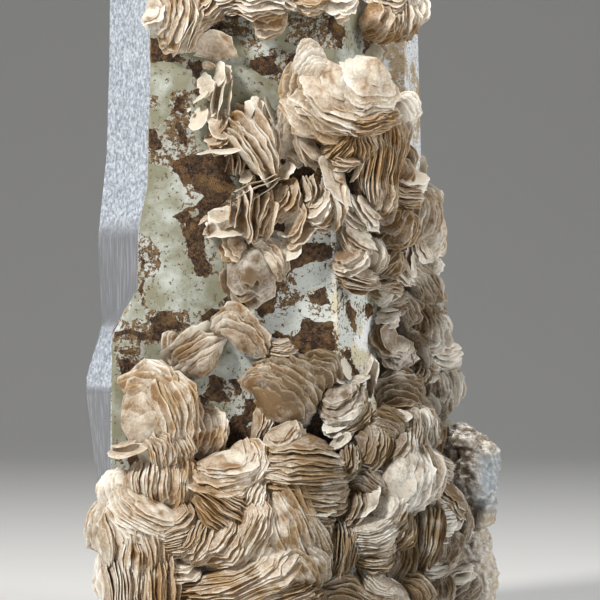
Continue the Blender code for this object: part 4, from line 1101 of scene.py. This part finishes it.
grow_plates("calcite_small_disc", [
    rosette(-5.0, -14.8, 31.2, 3.4, 4.0, 2.2, 78, 60, cup=1, slant=0.4, tone=0.4),
    rosette(-7.5, -14.4, 31.2, 2.6, 2.8, 1.8, -62, 24, tone=0.15),
    rosette(-7.5, -13.6, 35.7, 1.4, 2.6, 0.7, 84, 56, tone=0.55),
])
grow_plates("calcite_foot_mass", [
    rosette(-14.1, -17.6, 32.7, 6.4, 7.0, 4.4, 100, 58, cup=3, roll=0.8, dome=0.12, slant=0.3, tone=0.6),
    rosette(-12.2, -16.2, 33.3, 5.8, 7.2, 5.1, 96, 38, cup=1.6, dome=0.3, tone=0.34),
    rosette(-13.2, -16.8, 35.7, 5.0, 5.6, 3.3, 152, 50, cup=2.4, dome=0.3, slant=0.4, tone=0.22),
    rosette(-16.9, -19.6, 29.0, 2.8, 3.0, 0.7, 20, 18, tone=0.67),
    rosette(-12.3, -18.6, 28.5, 3.4, 3.4, 2.6, 104, 34, tone=0.45),
    rosette(-9.6, -16.8, 29.7, 3.4, 4.0, 2.9, 118, 30, tone=0.26),
    rosette(-17.1, -18.0, 22.8, 3.8, 3.6, 4.0, -60, 56, cup=1.2, dome=0.5, slant=0.4, tone=0.9),
    rosette(-14.4, -18.6, 24.0, 3.8, 3.6, 5.3, 94, 20, cup=0.8, roll=1, tone=0.48, fan=14),
    rosette(-10.8, -18.4, 23.7, 4.2, 4.2, 4.2, 76, 44, cup=1.2, slant=0.35, tone=0.22),
    rosette(-8.7, -17.2, 24.9, 3.4, 3.6, 2.9, 70, 40, tone=0.22),
    rosette(-13.5, -20.0, 19.8, 5.0, 6.4, 3.7, -20, 36, cup=1, dome=0.3, tone=0.64, fan=16, twist=-18),
    rosette(-9.0, -20.0, 19.2, 2.8, 2.6, 1.8, 30, 40, tone=0.22),
    rosette(-18.3, -17.2, 17.4, 4.0, 4.2, 3.7, -80, 56, cup=1.2, dome=0.5, slant=0.4, tone=0.82),
    rosette(-17.7, -19.0, 15.6, 4.6, 5.0, 5.1, 100, 26, cup=1, tone=0.52, fan=16, twist=-14),
    rosette(-15.3, -19.6, 14.2, 4.8, 6.0, 5.5, 98, 22, cup=0.8, tone=0.52, fan=13, twist=-16),
    rosette(-17.4, -17.8, 9.3, 4.0, 4.4, 3.7, -84, 58, cup=1.2, dome=0.5, slant=0.4, tone=0.97),
    rosette(-17.1, -19.2, 8.7, 4.8, 5.6, 5.1, 96, 22, tone=0.56, fan=12),
    rosette(-13.5, -19.8, 8.4, 4.8, 6.0, 5.1, 90, 18, cup=0.6, tone=0.41, fan=12),
    rosette(-9.9, -20.0, 16.0, 3.6, 3.4, 3.5, 16, 20, tone=0.3, fan=14),
    rosette(-1.8, -19.0, 26.1, 5.0, 5.6, 3.7, 5, 32, cup=1.2, tone=0.6, fan=17, twist=18),
    rosette(1.4, -18.4, 26.7, 3.8, 3.4, 3.3, 56, 48, slant=0.45, tone=0.45),
    rosette(-2.4, -19.6, 20.7, 4.2, 4.4, 4.4, -34, 14, tone=0.22, fan=16, twist=16),
    rosette(1.8, -19.4, 22.2, 3.0, 2.6, 2.0, 58, 24, tone=0.67),
    rosette(-6.0, -20.0, 15.3, 3.8, 3.8, 4.2, 56, 38, tone=0.41, fan=13),
    rosette(-2.1, -20.2, 15.3, 4.2, 4.6, 4.2, 53, 40, tone=0.37, fan=13),
    rosette(1.5, -20.0, 17.1, 4.4, 5.0, 4.4, 66, 40, tone=0.41, fan=13),
    rosette(6.4, -19.4, 16.5, 5.4, 7.4, 6.6, 114, 42, cup=1.8, roll=0.8, slant=0.4, tone=0.41, fan=13),
    rosette(8.4, -19.4, 12.0, 4.6, 5.2, 4.8, 140, 46, cup=1.4, slant=0.4, tone=0.52),
    rosette(3.3, -20.4, 12.0, 4.6, 6.4, 3.7, 32, 34, cup=1, slant=0.3, tone=0.52, twist=10),
    rosette(-0.6, -20.0, 9.0, 4.8, 8.6, 4.6, 16, 22, tone=0.3, fan=13, twist=10),
    rosette(-8.4, -20.0, 11.2, 3.2, 3.0, 1.4, 3, 30, tone=0.6),
    rosette(-6.6, -18.0, 7.5, 5.0, 6.4, 4.0, 4, 10, tone=0),
    rosette(6.6, -18.8, 7.2, 4.6, 6.0, 3.7, 14, 20, tone=0.22),
    rosette(9.4, -17.8, 27.9, 5.0, 6.4, 5.5, -4, 18, cup=0.8, roll=1, tone=0.21),
    rosette(6.6, -17.0, 30.6, 3.2, 3.4, 2.4, 30, 46, tone=0.34),
    rosette(15.0, -17.0, 30.3, 1.8, 1.9, 0.6, 32, 44, tone=0.66),
    rosette(15.3, -16.8, 26.7, 3.0, 3.4, 2.0, 70, 34, tone=0.11),
    rosette(12.0, -17.2, 22.8, 4.0, 4.8, 3.1, -12, 28, tone=-0.1),
    rosette(12.1, -18.2, 20.4, 3.2, 3.6, 0.7, -4, 12, tone=0.66),
    rosette(11.2, -17.2, 18.8, 3.8, 3.8, 1.8, -2, 10, tone=-0.04),
    rosette(14.7, -16.8, 14.1, 3.6, 4.8, 3.1, 86, 24, tone=-0.1),
    rosette(12.0, -17.2, 12.0, 2.6, 2.9, 0.9, 66, 40, tone=0.51),
    rosette(19.2, -15.6, 29.0, 3.6, 3.8, 3.3, 68, 50, tone=-0.1),
    rosette(16.5, -15.0, 34.2, 3.0, 3.2, 2.0, 40, 40, tone=-0.04),
    rosette(21.9, -15.6, 32.4, 3.0, 2.8, 2.6, 150, 46, slant=0.4, tone=0.26),
    rosette(23.4, -15.2, 34.1, 1.8, 1.9, 0.7, -10, 36, tone=0.66),
    rosette(25.3, -14.0, 31.2, 3.4, 3.6, 2.4, 82, 40, tone=0.16),
    rosette(27.8, -12.6, 31.5, 2.8, 3.4, 2.4, 90, 52, tone=0.56),
    rosette(27.0, -13.8, 26.7, 3.2, 3.6, 1.8, 104, 30, tone=0.06),
    rosette(29.4, -12.2, 26.2, 2.8, 3.0, 2.4, -42, 22, tone=0.56),
    rosette(24.3, -15.8, 24.6, 5.0, 6.2, 5.7, 78, 60, cup=1.8, dome=0.5, slant=0.3, tone=0.66),
    rosette(23.7, -15.0, 28.8, 3.6, 3.6, 2.9, 60, 56, tone=0.51),
    rosette(22.2, -16.4, 19.8, 3.2, 3.4, 1.8, 40, 56, tone=0.36),
    rosette(19.2, -16.2, 23.4, 3.0, 3.0, 2.0, 142, 42, slant=0.4, tone=-0.09),
    rosette(19.5, -16.0, 25.2, 2.6, 3.2, 0.8, 170, 34, tone=0.56),
    rosette(18.6, -17.2, 21.0, 2.8, 3.0, 0.7, 54, 30, tone=0.66),
    rosette(16.8, -16.8, 19.5, 2.8, 3.2, 1.4, 60, 24, tone=0.06),
    rosette(19.6, -16.6, 16.4, 4.0, 4.6, 3.5, 12, 36, tone=0.46, fan=13),
    rosette(23.4, -15.4, 16.8, 3.2, 3.2, 2.4, 52, 46, tone=0.01),
    rosette(19.8, -15.8, 12.6, 3.4, 3.2, 2.6, 3, 20, tone=-0.04),
    rosette(22.3, -14.8, 12.0, 2.4, 2.4, 1.2, 82, 40, tone=0.41),
    rosette(20.4, -15.8, 8.4, 3.2, 3.8, 2.4, -28, 30, tone=0.41),
    rosette(23.4, -14.8, 6.9, 3.0, 2.8, 1.2, -50, 58, tone=0.66),
    rosette(15.3, -17.0, 6.9, 3.6, 3.8, 1.8, 178, 50, tone=-0.09),
    rosette(26.5, -13.2, 7.8, 3.0, 3.0, 2.0, 130, 50, tone=-0.09),
    rosette(27.6, -12.4, 16.4, 3.4, 5.6, 2.6, 86, 28, tone=0.06),
    rosette(28.0, -12.4, 20.4, 2.0, 1.9, 1.0, 100, 54, tone=0.56),
    rosette(24.0, -12.0, 12.6, 3.6, 4.4, 2.9, 80, 30, tone=-0.1),
], fan=11, segments=20, thick=0.24, loose=0.5)
grow_plates("calcite_right_mass", [
    rosette(30.0, -8.6, 22.2, 3.4, 4.0, 2.6, -62, 34, tone=0.3),
    rosette(27.0, -9.6, 30.0, 3.6, 3.8, 3.3, 80, 40, tone=0.3),
    rosette(30.1, -8.8, 17.1, 3.0, 2.2, 4.8, 2, 12, tone=1.23),
    rosette(30.9, -8.6, 13.7, 3.4, 3.2, 2.6, 76, 58, tone=0.3),
    rosette(29.4, -8.4, 11.1, 3.0, 3.6, 2.0, 4, 20, tone=0.72),
    rosette(32.2, -6.4, 10.0, 3.0, 3.4, 1.8, 8, 28, tone=0.64),
    rosette(30.0, -8.2, 7.5, 3.0, 3.0, 2.6, 84, 40, tone=0.38),
    rosette(33.6, -5.2, 8.1, 3.2, 3.2, 2.6, 60, 42, tone=0.47),
    rosette(31.8, -6.8, 20.2, 3.2, 3.6, 2.6, -60, 40, tone=0.38),
    rosette(32.4, -5.6, 16.5, 3.2, 3.6, 2.6, 70, 40, tone=0.47),
    rosette(31.2, -7.6, 18.0, 2.6, 2.4, 0.8, 10, 30, tone=1.49),
], fan=11)

# The frosted cluster at the lower right: small crystals grown into two rounded lumps, white where
# their tips catch the light and stained brown in front, with a bluish, half-clear right side.

LUMPS = [  # middle and half size of each swelling, in millimetres
    ((35.4, 6.4, 23.6), (4.5, 6.4, 7.7)), ((34.2, 5.0, 29.2), (3.5, 4.7, 2.9)),
    ((37.3, 4.6, 25.4), (2.9, 4.2, 4.4)), ((33.6, 3.2, 22.0), (2.6, 3.2, 4.2)),
    ((37.4, 5.4, 19.6), (2.3, 4.4, 3.6)), ((36.0, 6.6, 8.2), (3.6, 6.0, 9.0)),
    ((35.2, 3.6, 12.2), (2.6, 3.2, 3.2)), ((37.2, 4.2, 7.0), (2.4, 3.6, 4.4)),
    ((34.6, 3.4, 5.4), (2.2, 3.2, 3.6)),
]
LUMP_VOXEL = 0.28 * MM


def lump_tree(frosted):
    """Geometry nodes that melt the swellings into one and roughen it."""
    swellings = wire = new_tree("frosted_lumps", "Swellings", ["Voxel"])
    voxel = swellings.other("Voxel")
    size = wire.node("GeometryNodeInputNamedAttribute", {"data_type": "FLOAT_VECTOR"}, {"Name": "size"})
    ball = wire.node("GeometryNodeMeshUVSphere", {}, {"Segments": 32, "Rings": 20, "Radius": 1.0})
    balls = set_on(swellings, ball, Scale=size)
    volume = wire.node("GeometryNodeMeshToVolume", {"resolution_mode": "VOXEL_SIZE"}, {
        "Mesh": balls, "Density": 1.0, "Voxel Size": voxel, "Interior Band Width": 0.6 * MM,
    })
    lump = wire.node("GeometryNodeVolumeToMesh", {"resolution_mode": "VOXEL_SIZE"}, {
        "Volume": volume, "Voxel Size": voxel, "Threshold": 0.3,
    })
    spot, normal = wire.node("GeometryNodeInputPosition"), wire.node("GeometryNodeInputNormal")
    broad, close = spot.speckle(260.0, 2.0, 0.5) - 0.5, spot.speckle(900.0, 3.0, 0.65) - 0.5
    ridges = (spot * (1.0, 1.0, 2.6)).speckle(520.0, 2.0, 0.6) - 0.5
    height = broad * (4.2 * MM) + close * (0.9 * MM) + ridges * (1.1 * MM)
    lump = wire.node("GeometryNodeSetPosition", {}, {"Geometry": lump, "Offset": normal * height})
    return finish_tree([lump], frosted)


frosted, wire, place = new_material("frosted calcite")
x, _, z = place.split()
_, _, upward = wire.node("ShaderNodeNewGeometry", out=3).split()
cloud, fine = place.speckle(330.0, 4.0, 0.6), place.speckle(2300.0, 3.0, 0.7)
grit = place.speckle(1000.0, 3.0, 0.65)
tip = wire.node("ShaderNodeNewGeometry", {}, out=7).ramp(0.49, 0.56)
outer = (x.ramp(34.5 * MM, 38 * MM) + cloud * 1.6 - 0.8).clip()
frost_colour = outer.mix((0.110, 0.074, 0.042, 1), (0.34, 0.27, 0.185, 1))
bluish = outer * z.ramp(29 * MM, 26 * MM) * z.ramp(17 * MM, 20 * MM)
frost_colour = bluish.mix(frost_colour, (0.29, 0.33, 0.36, 1))
honey = cloud.ramp(0.52, 0.66) * z.ramp(15 * MM, 11 * MM) * 0.8
frost_colour = honey.mix(frost_colour, (0.44, 0.28, 0.08, 1))
# Whiter on the tips, on faces turned upwards, low down and in random grit: the tips and the upward faces
# are painted highlight where the light catches them.
white = tip * 0.35 + upward.ramp(0.45, 0.9) * 0.7 + z.ramp(17 * MM, 12 * MM) * 0.3 + (grit - 0.5) * 1.6
frost_colour = (white.clip() * 0.85).mix(frost_colour, (0.88, 0.86, 0.80, 1))
shader = principled(
    wire, Base_Color=frost_colour, Roughness=0.38, Normal=bump(fine + grit, 0.9, 0.25 * MM),
    Subsurface_Weight=0.25, Subsurface_Radius=(1.0, 0.9, 0.8), Subsurface_Scale=0.8 * MM,
)
cover_with(shader)
swellings = bpy.data.meshes.new("frosted_lumps")
swellings.from_pydata([Vector(middle) * MM for middle, _ in LUMPS], [], [])
swellings.attributes.new("size", "FLOAT_VECTOR", "POINT").data.foreach_set(
    "vector", [half * MM for _, size in LUMPS for half in size]
)
cluster = add_object("frosted_lumps", swellings)
grow(cluster, lump_tree(frosted), {"Voxel": LUMP_VOXEL})
cut_flat(cluster.data)
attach(cluster, "root")
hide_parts("frosted_cluster")


# The sides that face away: a mass behind the foot of each crystal, sawn flat too, single rosettes
# higher up, and a short crust of them on the rear crystal's right side.

grow_plates("calcite_back_mass", [
    rosette(-14.0, 15.4, 8.0, 5.0, 7.0, 7.0, 80, 20, yaw=170),
    rosette(-11.0, 15.6, 17.0, 4.6, 5.0, 6.0, -40, 30, yaw=185, dome=0.5),
    rosette(-5.0, 16.0, 5.0, 5.0, 7.0, 8.0, 10, 20, yaw=180),
    rosette(-3.4, 15.2, 13.6, 4.2, 4.6, 5.0, 50, 30, yaw=180),
], fan=11)
grow_plates("calcite_rear_mass", [
    rosette(12.0, 25.4, 7.0, 5.0, 7.0, 7.0, 80, 20, yaw=180),
    rosette(19.6, 25.0, 6.0, 5.0, 6.6, 7.4, 8, 24, yaw=180),
    rosette(16.6, 25.2, 13.2, 5.0, 6.2, 7.4, -34, 30, yaw=180, dome=0.5),
    rosette(26.4, 22.2, 7.6, 5.0, 6.2, 6.8, 70, 24, yaw=135),
    rosette(29.4, 17.0, 12.8, 4.8, 5.6, 6.4, -50, 30, yaw=105, dome=0.5),
], fan=11)
grow_plates("calcite_back_rosette_low", [
    rosette(-7.4, 14.0, 41.0, 4.2, 5.0, 5.0, -30, 30, yaw=180, dome=0.5),
    rosette(-2.6, 13.6, 37.0, 3.6, 4.0, 4.0, 50, 36, yaw=180),
], fan=11)
grow_plates("calcite_back_rosette_high", [
    rosette(-8.6, 13.6, 74.0, 4.0, 4.6, 4.6, 66, 36, yaw=180, dome=0.5),
], fan=11)
grow_plates("calcite_rear_rosette_low", [
    rosette(20.6, 24.0, 42.0, 4.2, 4.8, 5.2, 20, 34, yaw=175, dome=0.5),
    rosette(15.8, 24.2, 46.2, 3.8, 4.2, 4.0, -48, 36, yaw=180),
], fan=11)
grow_plates("calcite_rear_rosette_high", [
    rosette(13.0, 24.2, 72.0, 4.0, 4.6, 4.8, -60, 30, yaw=185, dome=0.5),
], fan=11)
grow_plates("calcite_rear_side_crust", [
    rosette(29.2, 13.0, 61.0, 3.6, 4.0, 4.0, 70, 34, yaw=90, dome=0.5),
    rosette(28.8, 14.6, 55.2, 3.4, 3.8, 3.8, -30, 40, yaw=100, dome=0.5),
    rosette(29.2, 13.6, 50.4, 3.6, 4.2, 4.2, 20, 44, yaw=92),
], fan=11)
